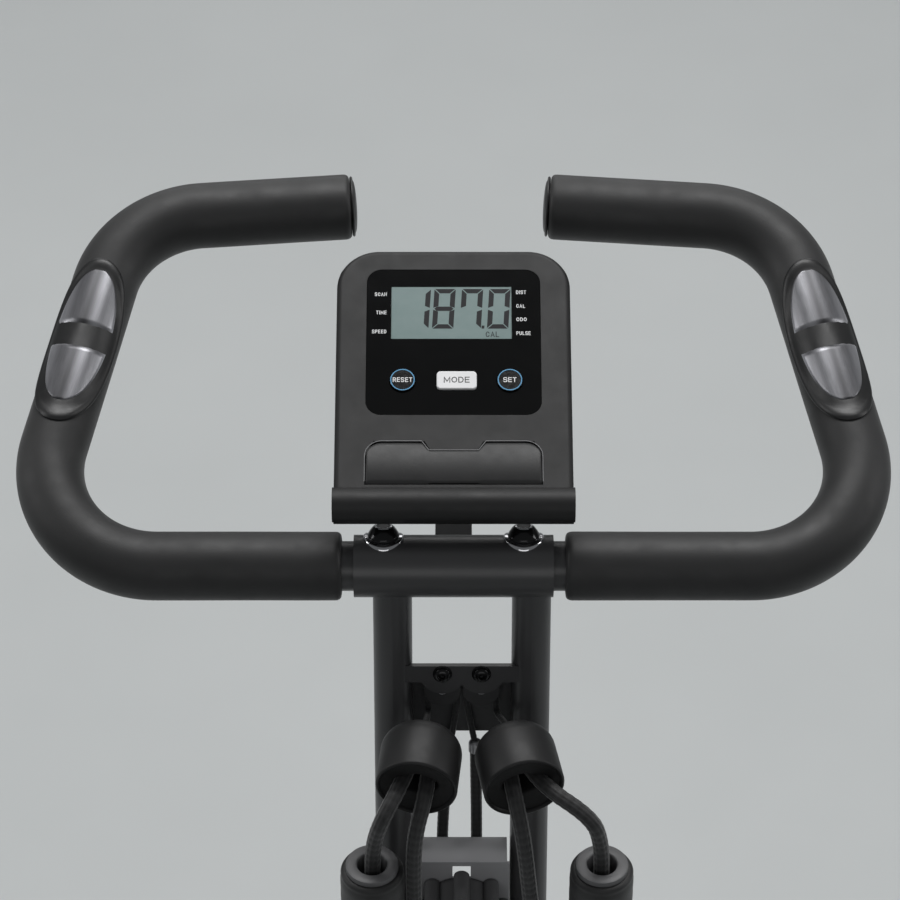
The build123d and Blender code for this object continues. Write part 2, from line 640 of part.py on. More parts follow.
def tube_along(points, radii, d, bore=0.0):
    with BuildLine() as ln:
        FilletPolyline(*points, radius=radii)
    with BuildPart() as t:
        with BuildSketch(Plane(origin=ln.line @ 0, z_dir=ln.line % 0)):
            Circle(d / 2)
            if bore:
                Circle(bore / 2, mode=Mode.SUBTRACT)
        sweep(path=ln.line)
    length = sum(e.length for e in ln.edges())
    print("length", round(length, 1), "volume over section x length",
          round(t.part.volume / (pi * (d * d - bore * bore) / 4 * length), 4),
          "radii", [round(r, 1) for r in radii])
    return t.part


# Thin pull ropes: from the eyelet of the stopper up over the pulley and down into the sleeve.
SLEEVE_TOP = {-1: (-6.0, -108.0, 0.5), 1: (7.2, -108.0, 0.5)}
SLEEVE_LOW = {-1: (-10.4, -158.0, -4.8), 1: (8.0, -158.0, -4.8)}


def pull_rope(name, sign):
    c = PULLEY_X * sign
    eye = stop_plane(sign, 0.5).origin
    back = stop_plane(sign, -9.0).origin
    pts = [mast_pt(SLEEVE_TOP[sign][0], SLEEVE_TOP[sign][1] + 0.2, 0.5),
           mast_pt(c - sign * (ROPE_R + 0.05), WHEEL_V - 12, 0.5),
           mast_pt(c - sign * ROPE_R, WHEEL_V + ROPE_R, 0.5),
           mast_pt(c + sign * ROPE_R, WHEEL_V + ROPE_R, 0.5),
           mast_pt(c + sign * (ROPE_R + 0.05), WHEEL_V - 16, 0.5),
           back, eye]
    radii = [30.0, ROPE_R - 0.01, ROPE_R - 0.01, 6.0, 6.0]
    save(tube_along(pts, radii, ROPE_D), name)


pull_rope("pull_rope_left", -1)
pull_rope("pull_rope_right", 1)

# Sleeves that carry the ropes down the mast to the anchor plate.
LOW_DIR = (cos(radians(LEG_TILT)), sin(radians(LEG_TILT)))


def sleeve_points(sign):
    x0, x1 = SLEEVE_TOP[sign][0], SLEEVE_LOW[sign][0]
    n = SLEEVE_LOW[sign][2]
    end = (BR2[0] + 4.05 * LOW_DIR[0] - n * LOW_DIR[1], BR2[1] + 4.05 * LOW_DIR[1] + n * LOW_DIR[0])
    return [mast_pt(x0, SLEEVE_TOP[sign][1], 0.5), mast_pt(x1, SLEEVE_LOW[sign][1], n),
            mast_pt(x1 * 1.05, BEND_V - 0.7, n), Vector(x1, end[0] + YO, end[1])]


sleeves = [tube_along(sleeve_points(s), [60.0, 60.0], SLEEVE_D, 3.9) for s in (-1, 1)]
with BuildPart() as rope_sleeves:
    for s in sleeves:
        add(s)
save(rope_sleeves.part, "rope_sleeves")

# Handles: a foam tube on each, with a grey ring at either end, hung on a loop of cord.
HANDLE = {-1: (-46.0, 168.0), 1: (71.6, 168.0)}
HANDLE_TOP, HANDLE_LEN = 963.0, 122.0
CORD_D = 8.4


def handle_parts(tag, sign):
    x, y = HANDLE[sign]
    top = Plane.XY.offset(HANDLE_TOP)
    with BuildPart() as foam:
        with BuildSketch(Plane(origin=(x, y + YO, HANDLE_TOP - 3.2), z_dir=(0, 0, -1))):
            Circle(16.4)
            Circle(10.6, mode=Mode.SUBTRACT)
        extrude(amount=HANDLE_LEN - 6.4)
        fillet(foam.edges().filter_by(GeomType.CIRCLE).group_by(SortBy.RADIUS)[-1], 2.5)
    save(foam.part, "handle_foam_" + tag)
    with BuildPart() as core:
        with BuildSketch(Plane(origin=(x, y + YO, HANDLE_TOP), z_dir=(0, 0, -1))):
            Circle(10.5)
            Circle(7.4, mode=Mode.SUBTRACT)
        extrude(amount=HANDLE_LEN)
        for z in (HANDLE_TOP, HANDLE_TOP - HANDLE_LEN + 3.1):
            with BuildSketch(Plane(origin=(x, y + YO, z), z_dir=(0, 0, -1))):
                Circle(13.6)
                Circle(7.4, mode=Mode.SUBTRACT)
            extrude(amount=3.1)
    save(core.part, "handle_core_" + tag)


handle_parts("left", -1)
handle_parts("right", 1)


def cord_points(sign):
    """Out of the stopper, over its lip, down through the handle and back up to the stopper."""
    x, y = HANDLE[sign]
    o = stop_plane(sign, STOP_LEN - 15.8)
    o2 = stop_plane(sign, STOP_LEN - 1.0)
    a = o.origin + o.x_dir * (sign * 5.0)
    b = o.origin - o.x_dir * (sign * 5.0)
    low = HANDLE_TOP - HANDLE_LEN
    pts = [a, o2.origin + o.x_dir * (sign * 8.0) + Vector(0, -2, 3), Vector(x - sign * 6, y + YO - 4.0, 1001.0),
           Vector(x - sign * 0.8, y + YO - 0.5, 979.0), Vector(x, y + YO, 955.0), Vector(x + 0.3, y + YO, 905.0),
           Vector(x, y + YO, 855.0), Vector(x + sign * 0.6, y + YO, low - 7)]
    # the free loop below the handle, a limp drop shape
    inner = x - sign * 36
    mid = (x + inner) / 2 - sign * 1.0
    pts += [Vector(mid + sign * 26.5, y + YO - 6.0, 797.0), Vector(mid + sign * 26.0, y + YO - 17.5, 777.0),
            Vector(mid + sign * 10.8, y + YO - 27.0, 762.0), Vector(mid - sign * 10.8, y + YO - 27.0, 762.0),
            Vector(mid - sign * 26.0, y + YO - 17.5, 777.0), Vector(mid - sign * 26.0, y + YO - 6.0, 797.0)]
    if sign < 0:
        pts += [Vector(-19.5, y + YO + 1.0, low - 2), Vector(-24.0, y + YO + 1.0, low + 46),
                Vector(-24.6, y + YO, low + 96), Vector(-24.8, y + YO - 1.0, 982.0)]
    else:
        pts += [Vector(40.5, y + YO + 2.0, low - 2), Vector(41.5, y + YO + 1.0, low + 45),
                Vector(35.5, y + YO, low + 92), Vector(31.5, y + YO - 2.0, 982.0)]
    pts += [o2.origin - o.x_dir * (sign * 5.0) + Vector(0, -4, -1), b]
    return pts


for sign, tag in ((-1, "left"), (1, "right")):
    pts = cord_points(sign)
    print(tag, [tuple(round(c, 1) for c in (p.X, p.Y, p.Z)) for p in pts])
    save(tube_along(pts, polar_radii(pts, 5.0), CORD_D), "handle_cord_" + tag)

# ================================================================ resistance knob on the mast
SHELF_Z, SHELF_BACK, KNOB_FACE = 922.4, 224.0, 206.0
KNOB_Z = 890.5
with BuildPart() as knob_bracket:
    # shelf, front plate and two cheeks that bolt to the inner sides of the mast tubes
    with BuildSketch(Plane.XY.offset(SHELF_Z)):
        with Locations((0, (SHELF_BACK + KNOB_FACE) / 2 + YO)):
            Rectangle(48.0, SHELF_BACK - KNOB_FACE)
    extrude(amount=-2.0)
    with BuildSketch(Plane.XZ.offset(-(KNOB_FACE + YO))):
        with Locations((0, (SHELF_Z - 2 + 858) / 2)):
            Rectangle(50.5, SHELF_Z - 2 - 858)
    extrude(amount=-2.5)
    for sign in (-1, 1):
        with BuildSketch(SIDE.offset(sign * 22.0)):
            with BuildLine():
                Polyline((KNOB_FACE + 1, SHELF_Z - 1), (SHELF_BACK, SHELF_Z - 1), (SHELF_BACK - 3, 900),
                         (SHELF_BACK - 10, 862), (KNOB_FACE + 1, 862), (KNOB_FACE + 1, SHELF_Z - 1))
            make_face()
        extrude(amount=sign * 2.0)
    with BuildSketch(Plane.XZ.offset(-(KNOB_FACE + YO) + 1)):
        with Locations((0, KNOB_Z)):
            Circle(4.05)
        with Locations((0, 914)):
            Rectangle(9.6, 10.5)
    extrude(amount=-6, mode=Mode.SUBTRACT)
save(knob_bracket.part, "knob_bracket")

with BuildPart() as resistance_knob:
    face = Plane.XZ.offset(-(KNOB_FACE + YO) + 0.6)
    with BuildSketch(face):
        with Locations((0, KNOB_Z)):
            Circle(20.5)
            with PolarLocations(21.8, 8, start_angle=90):
                Circle(4.2)
    extrude(amount=20.0)
    with BuildSketch(face.offset(20)):
        with Locations((0, KNOB_Z)):
            Circle(17)
    extrude(amount=3.0, taper=30)
    with BuildSketch(Plane.XZ.offset(-(KNOB_FACE + YO) - 5.6)):
        with Locations((0, KNOB_Z)):
            Circle(4.0)
    extrude(amount=8.0)
    with BuildSketch(Plane.XZ.offset(-(KNOB_FACE + YO) - 5.6)):
        with Locations((0, KNOB_Z)):
            Circle(6.0)
    extrude(amount=2.7)
save(resistance_knob.part, "resistance_knob")

# ================================================================ front leg and seat tube
LEG_LINE = [(FRONT_Y, STAB_Z), PIVOT, seat_yz(LEG_TOP)]
FRONT_DIR = (-cos(radians(45)), sin(radians(45)))
with BuildPart() as leg_frame:
    with BuildLine(SIDE) as leg_line:
        FilletPolyline(*LEG_LINE, radius=300)
    with BuildSketch(Plane(origin=leg_line.line @ 0, x_dir=(1, 0, 0), z_dir=leg_line.line % 0)):
        RectangleRounded(LEG_W, LEG_H, 6)
    sweep(path=leg_line.line)
    # pivot sleeve, bottom bracket shell
    with BuildSketch(SIDE.offset(-24.5)):
        with Locations(PIVOT):
            Circle(15)
    extrude(amount=49.0)
    with BuildSketch(SIDE.offset(-28)):
        with Locations(CRANK):
            Circle(22)
    extrude(amount=56.0)
    # two plates that carry the flywheel
    for x in (-23.0, 19.0):
        with BuildSketch(SIDE.offset(x)):
            with Locations(CRANK):
                Circle(26)
            with Locations(FLY):
                Circle(20)
            make_hull()
        extrude(amount=4.0)
    # sector plate of the fold lock
    with BuildSketch(SIDE.offset(19.0)):
        with BuildLine():
            a0, a1 = 48.0, 118.0
            ra, rb = 14.0, PIN_R + 11
            p = [(PIVOT[0] + ra * cos(radians(a1)), PIVOT[1] + ra * sin(radians(a1))),
                 (PIVOT[0] + ra * cos(radians(a0)), PIVOT[1] + ra * sin(radians(a0))),
                 (PIVOT[0] + rb * cos(radians(a0)), PIVOT[1] + rb * sin(radians(a0))),
                 (PIVOT[0] + rb * cos(radians((a0 + a1) / 2)), PIVOT[1] + rb * sin(radians((a0 + a1) / 2))),
                 (PIVOT[0] + rb * cos(radians(a1)), PIVOT[1] + rb * sin(radians(a1)))]
            Line(p[0], p[1])
            Line(p[1], p[2])
            ThreePointArc(p[2], p[3], p[4])
            Line(p[4], p[0])
        make_face()
    extrude(amount=4.0)
    # boss of the seat pin, and the pin of the magnet bracket
    with BuildSketch(seat_plane(SEAT_PIN_S, 19.0)):
        Circle(9)
    extrude(amount=13.0)
    with BuildSketch(SIDE.offset(-23)):
        with Locations(MAGNET_PIN):
            Circle(3.0)
    extrude(amount=46.0)
    # ---- cuts
    with BuildLine(SIDE) as leg_line2:
        FilletPolyline(*LEG_LINE, radius=300)
    with BuildSketch(Plane(origin=leg_line2.line @ 0, x_dir=(1, 0, 0), z_dir=leg_line2.line % 0)):
        RectangleRounded(LEG_W - 2 * LEG_WALL, LEG_H - 2 * LEG_WALL, 3.5)
    sweep(path=leg_line2.line, mode=Mode.SUBTRACT)
    for r, place, x0, x1 in ((15, PIVOT, -19, 19), (22, CRANK, -19, 19)):
        with BuildSketch(SIDE.offset(x0)):
            with Locations(place):
                Circle(r)
        extrude(amount=x1 - x0)
    for r, place in ((9.02, PIVOT), (17.52, CRANK)):
        with BuildSketch(SIDE.offset(-30)):
            with Locations(place):
                Circle(r)
        extrude(amount=60, mode=Mode.SUBTRACT)
    with BuildSketch(SIDE.offset(-30)):
        with Locations(FLY):
            Circle(14.02)
    extrude(amount=60, mode=Mode.SUBTRACT)
    # arc slot of the fold pin
    with BuildSketch(SIDE.offset(18.0)):
        with BuildLine():
            c0, c1 = radians(LEG_TILT - 1.0), radians(LEG_TILT + FOLD_MAX + 1.0)
            ri, ro = PIN_R - 4.5, PIN_R + 4.5
            def at(r, a):
                return (PIVOT[0] + r * cos(a), PIVOT[1] + r * sin(a))
            ThreePointArc(at(ri, c0), at(ri, (c0 + c1) / 2), at(ri, c1))
            ThreePointArc(at(ri, c1), at(PIN_R, c1 + 4.5 / PIN_R), at(ro, c1))
            ThreePointArc(at(ro, c1), at(ro, (c0 + c1) / 2), at(ro, c0))
            ThreePointArc(at(ro, c0), at(PIN_R, c0 - 4.5 / PIN_R), at(ri, c0))
        make_face()
    extrude(amount=6.0, mode=Mode.SUBTRACT)
    # hole for the seat pin, square to the seat tube
    with BuildSketch(seat_plane(SEAT_PIN_S, 0)):
        Circle(4.1)
    extrude(amount=40, mode=Mode.SUBTRACT)
    with BuildSketch(SIDE.offset(-60)):
        with Locations((FRONT_Y, STAB_Z)):
            Circle(STAB_D / 2)
    extrude(amount=120.0, mode=Mode.SUBTRACT)
save(leg_frame.part, "leg_frame")

with BuildPart() as pivot_bolt:
    for x, r, w in ((-54.0, 10.0, 6.9), (-47.1, 6.0, 94.2), (47.1, 10.0, 6.9)):
        with BuildSketch(SIDE.offset(x)):
            with Locations(PIVOT):
                Circle(r)
        extrude(amount=w)
save(pivot_bolt.part, "pivot_bolt")
with BuildPart() as pivot_bushes:
    for sign in (-1, 1):
        with BuildSketch(SIDE.offset(sign * 8.0)):
            with Locations(PIVOT):
                Circle(9.0)
                Circle(6.06, mode=Mode.SUBTRACT)
        extrude(amount=sign * 16.4)
save(pivot_bushes.part, "pivot_bushes")

# Fold pin: pull it out and the legs fold.
with BuildPart() as fold_pin:
    for x, r, w in ((19.9, 4.0, 40.0), (57.5, 12.0, 18.0)):
        with BuildSketch(SIDE.offset(x)):
            with Locations(PIN_AT):
                Circle(r)
        extrude(amount=w)
save(fold_pin.part, "fold_pin")

# ================================================================ drive
def shroud(name, sign):
    with BuildPart() as sh:
        with BuildSketch(SIDE.offset(sign * 0.2)):
            with Locations(CRANK):
                Circle(SHROUD_R1)
            with Locations(FLY):
                Circle(SHROUD_R2)
            make_hull()
        extrude(amount=sign * (SHROUD_HALF - 0.2))
        fillet(sh.faces().sort_by(Axis.X)[-1 if sign > 0 else 0].edges(), 14)
        offset(amount=-2.5, openings=sh.faces().sort_by(Axis.X)[0 if sign > 0 else -1])
        with BuildSketch(SIDE.offset(sign * 40)):
            with Locations(CRANK):
                Circle(20)
        extrude(amount=sign * 20, mode=Mode.SUBTRACT)
        with BuildSketch(SIDE.offset(sign * 0.0)):
            with Locations(Location((CRANK[0], CRANK[1], 0), (0, 0, -45))):
                Rectangle(400, LEG_H + 1.0)
        extrude(amount=sign * (LEG_W / 2 + 0.5), mode=Mode.SUBTRACT)
    save(sh.part, name)


shroud("shroud_left", -1)
shroud("shroud_right", 1)

with BuildPart() as crank_axle:
    with BuildSketch(SIDE.offset(-70)):
        with Locations(CRANK):
            Circle(8.5)
    extrude(amount=140)
save(crank_axle.part, "crank_axle")

with BuildPart() as bearings:
    for sign in (-1, 1):
        with BuildSketch(SIDE.offset(sign * 16)):
            with Locations(CRANK):
                Circle(17.5)
                Circle(8.56, mode=Mode.SUBTRACT)
        extrude(amount=sign * 11.5)
        with BuildSketch(SIDE.offset(sign * 17.5)):
            with Locations(FLY):
                Circle(14.0)
                Circle(6.06, mode=Mode.SUBTRACT)
        extrude(amount=sign * 7.0)
save(bearings.part, "bearings")

with BuildPart() as crank_pulley:
    with BuildSketch(SIDE.offset(31)):
        with Locations(CRANK):
            Circle(BIG_PULLEY_R)
    extrude(amount=12)
    for x0, w in ((31, 4.0), (39, 4.0)):
        with BuildSketch(SIDE.offset(x0)):
            with Locations(CRANK):
                Circle(BIG_PULLEY_R - 8)
                Circle(22, mode=Mode.SUBTRACT)
        extrude(amount=w, mode=Mode.SUBTRACT)
    with BuildSketch(SIDE.offset(30)):
        with Locations(CRANK):
            with PolarLocations(57, 5, start_angle=20):
                Circle(21)
            Circle(8.51)
    extrude(amount=14, mode=Mode.SUBTRACT)
save(crank_pulley.part, "crank_pulley")

with BuildPart() as drive_belt:
    for grow, how in ((2.6, Mode.ADD), (0.35, Mode.SUBTRACT)):
        with BuildSketch(SIDE.offset(32 if how == Mode.ADD else 31)):
            with Locations(CRANK):
                Circle(BIG_PULLEY_R + grow)
            with Locations(FLY):
                Circle(SMALL_PULLEY_R + grow)
            make_hull()
        extrude(amount=10 if how == Mode.ADD else 12, mode=how)
save(drive_belt.part, "drive_belt")

with BuildPart() as flywheel:
    with BuildSketch(SIDE.offset(-9)):
        with Locations(FLY):
            Circle(FLY_R)
            Circle(6.01, mode=Mode.SUBTRACT)
    extrude(amount=18)
    for x0 in (-9, 3):
        with BuildSketch(SIDE.offset(x0)):
            with Locations(FLY):
                Circle(FLY_R - 24)
                Circle(17, mode=Mode.SUBTRACT)
        extrude(amount=6, mode=Mode.SUBTRACT)
save(flywheel.part, "flywheel")
with BuildPart() as flywheel_axle:
    with BuildSketch(SIDE.offset(-27)):
        with Locations(FLY):
            Circle(6.0)
    extrude(amount=72)
    with BuildSketch(SIDE.offset(31)):
        with Locations(FLY):
            Circle(SMALL_PULLEY_R)
    extrude(amount=12)
save(flywheel_axle.part, "flywheel_axle")

with BuildPart() as magnet_bracket:
    # an arc of magnets that stands 4 mm off the flywheel's rim, and swings away from it
    with BuildSketch(SIDE.offset(-12)):
        with BuildLine():
            def rim(r, a):
                return (FLY[0] + r * cos(radians(a)), FLY[1] + r * sin(radians(a)))
            ThreePointArc(rim(94, 178), rim(94, 208), rim(94, 238))
            Line(rim(94, 238), rim(99, 238))
            ThreePointArc(rim(99, 238), rim(99, 208), rim(99, 178))
            Line(rim(99, 178), rim(94, 178))
        make_face()
    extrude(amount=24)
    with BuildSketch(SIDE.offset(-12)):
        with BuildLine():
            Polyline(rim(97, 225), rim(97, 238), (MAGNET_PIN[0] + 5.5, MAGNET_PIN[1] + 3), (MAGNET_PIN[0] - 6, MAGNET_PIN[1] - 2),
                     rim(104, 228), rim(97, 225))
        make_face()
        with Locations(MAGNET_PIN):
            Circle(7)
    extrude(amount=24)
    with BuildSketch(SIDE.offset(-20)):
        with Locations(MAGNET_PIN):
            Circle(3.06)
    extrude(amount=40, mode=Mode.SUBTRACT)
save(magnet_bracket.part, "magnet_bracket")

PEDAL = {}
with BuildPart() as crank_arms:
    for sign in (-1, 1):
        a = radians(CRANK_ANGLE + (0 if sign > 0 else 180))
        eye = (CRANK[0] + CRANK_LEN * cos(a), CRANK[1] + CRANK_LEN * sin(a))
        PEDAL[sign] = eye
        with BuildSketch(SIDE.offset(sign * 56)):
            with Locations(CRANK):
                Circle(17)
            with Locations(eye):
                Circle(12.5)
            make_hull()
        extrude(amount=sign * 12)
        with BuildSketch(SIDE.offset(sign * 51)):
            with Locations(CRANK):
                Circle(15)
        extrude(amount=sign * 5)
        with BuildSketch(SIDE.offset(sign * 68)):
            with Locations(eye):
                Circle(6)
        extrude(amount=sign * 98)
    with BuildSketch(SIDE.offset(-80)):
        with Locations(CRANK):
            Circle(8.51)
    extrude(amount=160, mode=Mode.SUBTRACT)
save(crank_arms.part, "crank_arms")


def pedal(name, sign):
    y, z = PEDAL[sign]
    with BuildPart() as p:
        with BuildSketch(SIDE.offset(sign * 73)):
            with Locations((y, z)):
                RectangleRounded(90, 24, 8)
        extrude(amount=sign * 96)
        for off in (-27, 27):
            with BuildSketch(Plane.XY.offset(z - 20)):
                with Locations((sign * 121, y + YO + off)):
                    RectangleRounded(70, 16, 5)
            extrude(amount=40, mode=Mode.SUBTRACT)
        # strap arched over the foot
        with BuildSketch(Plane.XZ.offset(-(y + YO) - 13)):
            with Locations((sign * 121, z)):
                Ellipse(48, 60)
                Ellipse(45, 57, mode=Mode.SUBTRACT)
                with Locations((0, -50)):
                    Rectangle(200, 100, mode=Mode.SUBTRACT)
        extrude(amount=26)
        with BuildSketch(SIDE.offset(sign * 70)):
            with Locations((y, z)):
                Circle(6.06)
        extrude(amount=sign * 100, mode=Mode.SUBTRACT)
    save(p.part, name)


pedal("pedal_left", -1)
pedal("pedal_right", 1)

# ================================================================ seat
with BuildPart() as post_sleeve:
    for s0, w, h, depth in ((178.0, LEG_W - 2 * LEG_WALL - 0.04, LEG_H - 2 * LEG_WALL - 0.04, 77.0),
                            (LEG_TOP + 0.02, LEG_W, LEG_H, 4.0)):
        y, z = seat_yz(s0)
        with BuildSketch(Plane(origin=(0, y + YO, z), x_dir=(1, 0, 0), z_dir=(0, UD[0], UD[1]))):
            RectangleRounded(w, h, 3.5)
        extrude(amount=depth + (0.1 if s0 < LEG_TOP else 0))
    y, z = seat_yz(170)
    with BuildSketch(Plane(origin=(0, y + YO, z), x_dir=(1, 0, 0), z_dir=(0, UD[0], UD[1]))):
        RectangleRounded(POST_W + 0.6, POST_H + 0.6, 2.3)
    extrude(amount=100, mode=Mode.SUBTRACT)
    with BuildSketch(seat_plane(SEAT_PIN_S, 0)):
        Circle(4.6)
    extrude(amount=40, mode=Mode.SUBTRACT)
save(post_sleeve.part, "post_sleeve")

with BuildPart() as seat_post:
    y, z = seat_yz(110)
    post_plane = Plane(origin=(0, y + YO, z), x_dir=(1, 0, 0), z_dir=(0, UD[0], UD[1]))
    with BuildSketch(post_plane):
        RectangleRounded(POST_W, POST_H, 2)
        RectangleRounded(POST_W - 5, POST_H - 5, 1, mode=Mode.SUBTRACT)
    extrude(amount=380)
    with BuildSketch(Plane.XY.offset(SADDLE_Z)):
        with Locations((0, seat_yz(440)[0] + YO)):
            Rectangle(200, 300)
    extrude(amount=200, mode=Mode.SUBTRACT)
    # groove of the seat pin
    with BuildSketch(seat_plane(SEAT_PIN_S - POST_TRAVEL / 2, 13.0)):
        SlotCenterToCenter(POST_TRAVEL, 9.2, rotation=90)
    extrude(amount=10, mode=Mode.SUBTRACT)
save(seat_post.part, "seat_post")

with BuildPart() as seat_pin:
    with BuildSketch(seat_plane(SEAT_PIN_S, 14.8)):
        Circle(4.0)
    extrude(amount=26)
    with BuildSketch(seat_plane(SEAT_PIN_S, 38.0)):
        Circle(13)
    extrude(amount=20, taper=6)
save(seat_pin.part, "seat_pin")

SEAT_Y = seat_yz((SADDLE_Z - PIVOT_Z) / UD[1])[0]
SEAT_Y0 = SEAT_Y - 14.0


def saddle_outline(inset):
    for x, y, r in ((-64, -66, 62), (64, -66, 62), (0, 84, 40)):
        with Locations((x, SEAT_Y0 + y + YO)):
            Circle(r - inset)
    make_hull()


with BuildPart() as saddle_base:
    with BuildSketch(Plane.XY.offset(SADDLE_Z)):
        saddle_outline(10)
    extrude(amount=6)
save(saddle_base.part, "saddle_base")
with BuildPart() as saddle_cushion:
    with BuildSketch(Plane.XY.offset(SADDLE_Z + 6.3)):
        saddle_outline(0)
    extrude(amount=52)
    fillet(saddle_cushion.edges().group_by(Axis.Z)[-1], 16)
    fillet(saddle_cushion.edges().group_by(Axis.Z)[0], 6)
save(saddle_cushion.part, "saddle_cushion")
for nm, pt in (("pivot", PIVOT), ("fold pin", PIN_AT), ("crank", CRANK), ("fly", FLY), ("magnet", MAGNET_PIN),
               ("pedal L", PEDAL[-1]), ("pedal R", PEDAL[1]), ("wheel", (FRONT_Y + WHEEL_OUT, 27)),
               ("seat pin", seat_yz(SEAT_PIN_S)), ("rear", (REAR_Y, STAB_Z)), ("front", (FRONT_Y, STAB_Z))):
    print(nm, round(pt[0] + YO, 3), round(pt[1], 3))
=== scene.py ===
import math
import bmesh
import bpy
import numpy as np
from mathutils import Matrix, Vector, noise


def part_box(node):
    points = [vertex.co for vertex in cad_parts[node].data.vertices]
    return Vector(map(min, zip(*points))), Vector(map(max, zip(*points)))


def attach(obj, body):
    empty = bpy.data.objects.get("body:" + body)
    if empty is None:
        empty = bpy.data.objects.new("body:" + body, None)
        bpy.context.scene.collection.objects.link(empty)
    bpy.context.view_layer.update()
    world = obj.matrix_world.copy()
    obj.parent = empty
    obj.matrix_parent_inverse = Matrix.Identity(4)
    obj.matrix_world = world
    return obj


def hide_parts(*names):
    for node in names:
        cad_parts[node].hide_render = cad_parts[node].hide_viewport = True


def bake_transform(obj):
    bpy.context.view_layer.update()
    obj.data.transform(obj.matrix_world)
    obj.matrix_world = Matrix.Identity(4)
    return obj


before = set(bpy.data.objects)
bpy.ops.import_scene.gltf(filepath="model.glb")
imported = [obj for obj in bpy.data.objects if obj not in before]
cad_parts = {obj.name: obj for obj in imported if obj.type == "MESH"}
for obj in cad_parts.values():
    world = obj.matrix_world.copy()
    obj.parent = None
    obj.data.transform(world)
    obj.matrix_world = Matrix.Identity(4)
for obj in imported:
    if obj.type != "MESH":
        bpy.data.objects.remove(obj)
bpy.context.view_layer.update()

rad = math.radians
scene = bpy.context.scene
YO = -0.0312


# ------------------------------------------------------------------ the frame's own planes, in metres
def v3(x, y, z):
    return Vector((x, y, z))


LU = v3(0, math.cos(rad(20.5)), math.sin(rad(20.5)))      # up the handlebar's plane
LN = v3(0, -math.sin(rad(20.5)), math.cos(rad(20.5)))     # out of it
MU = v3(0, math.cos(rad(77.5)), math.sin(rad(77.5)))      # up the mast
MN = v3(0, -math.sin(rad(77.5)), math.cos(rad(77.5)))     # out of its face, to the rider
UX = v3(1, 0, 0)
BAR = v3(-0.0043, 0.260 + YO, 1.085)


def loop(u, v, n=0.0):
    """Millimetres in the handlebar's plane to a point in metres."""
    return BAR + UX * (u / 1000) + LU * (v / 1000) + LN * (n / 1000)


def mast(x, v, n=0.0):
    return v3(x / 1000, 0.260 + YO, 1.085) + MU * (v / 1000) + MN * (n / 1000)


# ------------------------------------------------------------------ camera
cam = bpy.data.cameras.new("camera")
cam.sensor_width = 36.0
cam.lens = 141.72
cam.clip_start, cam.clip_end = 0.05, 60.0
cam_ob = bpy.data.objects.new("camera", cam)
scene.collection.objects.link(cam_ob)
cam_ob.location = (-0.006129, -1.059814 + YO, 2.310384)
cam_ob.rotation_euler = (rad(49.0), 0, 0)
scene.camera = cam_ob


# ------------------------------------------------------------------ materials
class Tree:
    def __init__(self, name):
        self.m = bpy.data.materials.new(name)
        self.m.use_nodes = True
        self.t = self.m.node_tree
        self.p = next(n for n in self.t.nodes if n.type == "BSDF_PRINCIPLED")

    def n(self, kind, **kw):
        node = self.t.nodes.new(kind)
        for k, v in kw.items():
            if hasattr(node, k) and k not in node.inputs:
                setattr(node, k, v)
            else:
                node.inputs[k].default_value = v
        return node

    def l(self, a, b):
        self.t.links.new(a, b)

    def coords(self):
        if not hasattr(self, "_c"):
            self._c = self.n("ShaderNodeTexCoord").outputs["Object"]
        return self._c

    def noise(self, scale, detail=3.0, rough=0.5, stretch=None):
        co = self.coords()
        if stretch:
            mp = self.n("ShaderNodeMapping")
            mp.inputs["Scale"].default_value = stretch
            self.l(co, mp.inputs["Vector"])
            co = mp.outputs["Vector"]
        x = self.n("ShaderNodeTexNoise")
        x.inputs["Scale"].default_value = scale
        x.inputs["Detail"].default_value = detail
        x.inputs["Roughness"].default_value = rough
        self.l(co, x.inputs["Vector"])
        return x.outputs["Fac"]

    def rng(self, fac, lo, hi, a=0.3, b=0.7):
        x = self.n("ShaderNodeMapRange")
        x.inputs["From Min"].default_value = a
        x.inputs["From Max"].default_value = b
        x.inputs["To Min"].default_value = lo
        x.inputs["To Max"].default_value = hi
        self.l(fac, x.inputs["Value"])
        return x.outputs["Result"]

    def mix(self, fac, c1, c2):
        x = self.n("ShaderNodeMix", data_type="RGBA")
        x.inputs[6].default_value = (*c1, 1)
        x.inputs[7].default_value = (*c2, 1)
        self.l(fac, x.inputs[0])
        return x.outputs[2]

    def bump(self, fac, strength, distance, chain=None):
        x = self.n("ShaderNodeBump")
        x.inputs["Strength"].default_value = strength
        x.inputs["Distance"].default_value = distance
        self.l(fac, x.inputs["Height"])
        if chain is not None:
            self.l(chain, x.inputs["Normal"])
        return x.outputs["Normal"]


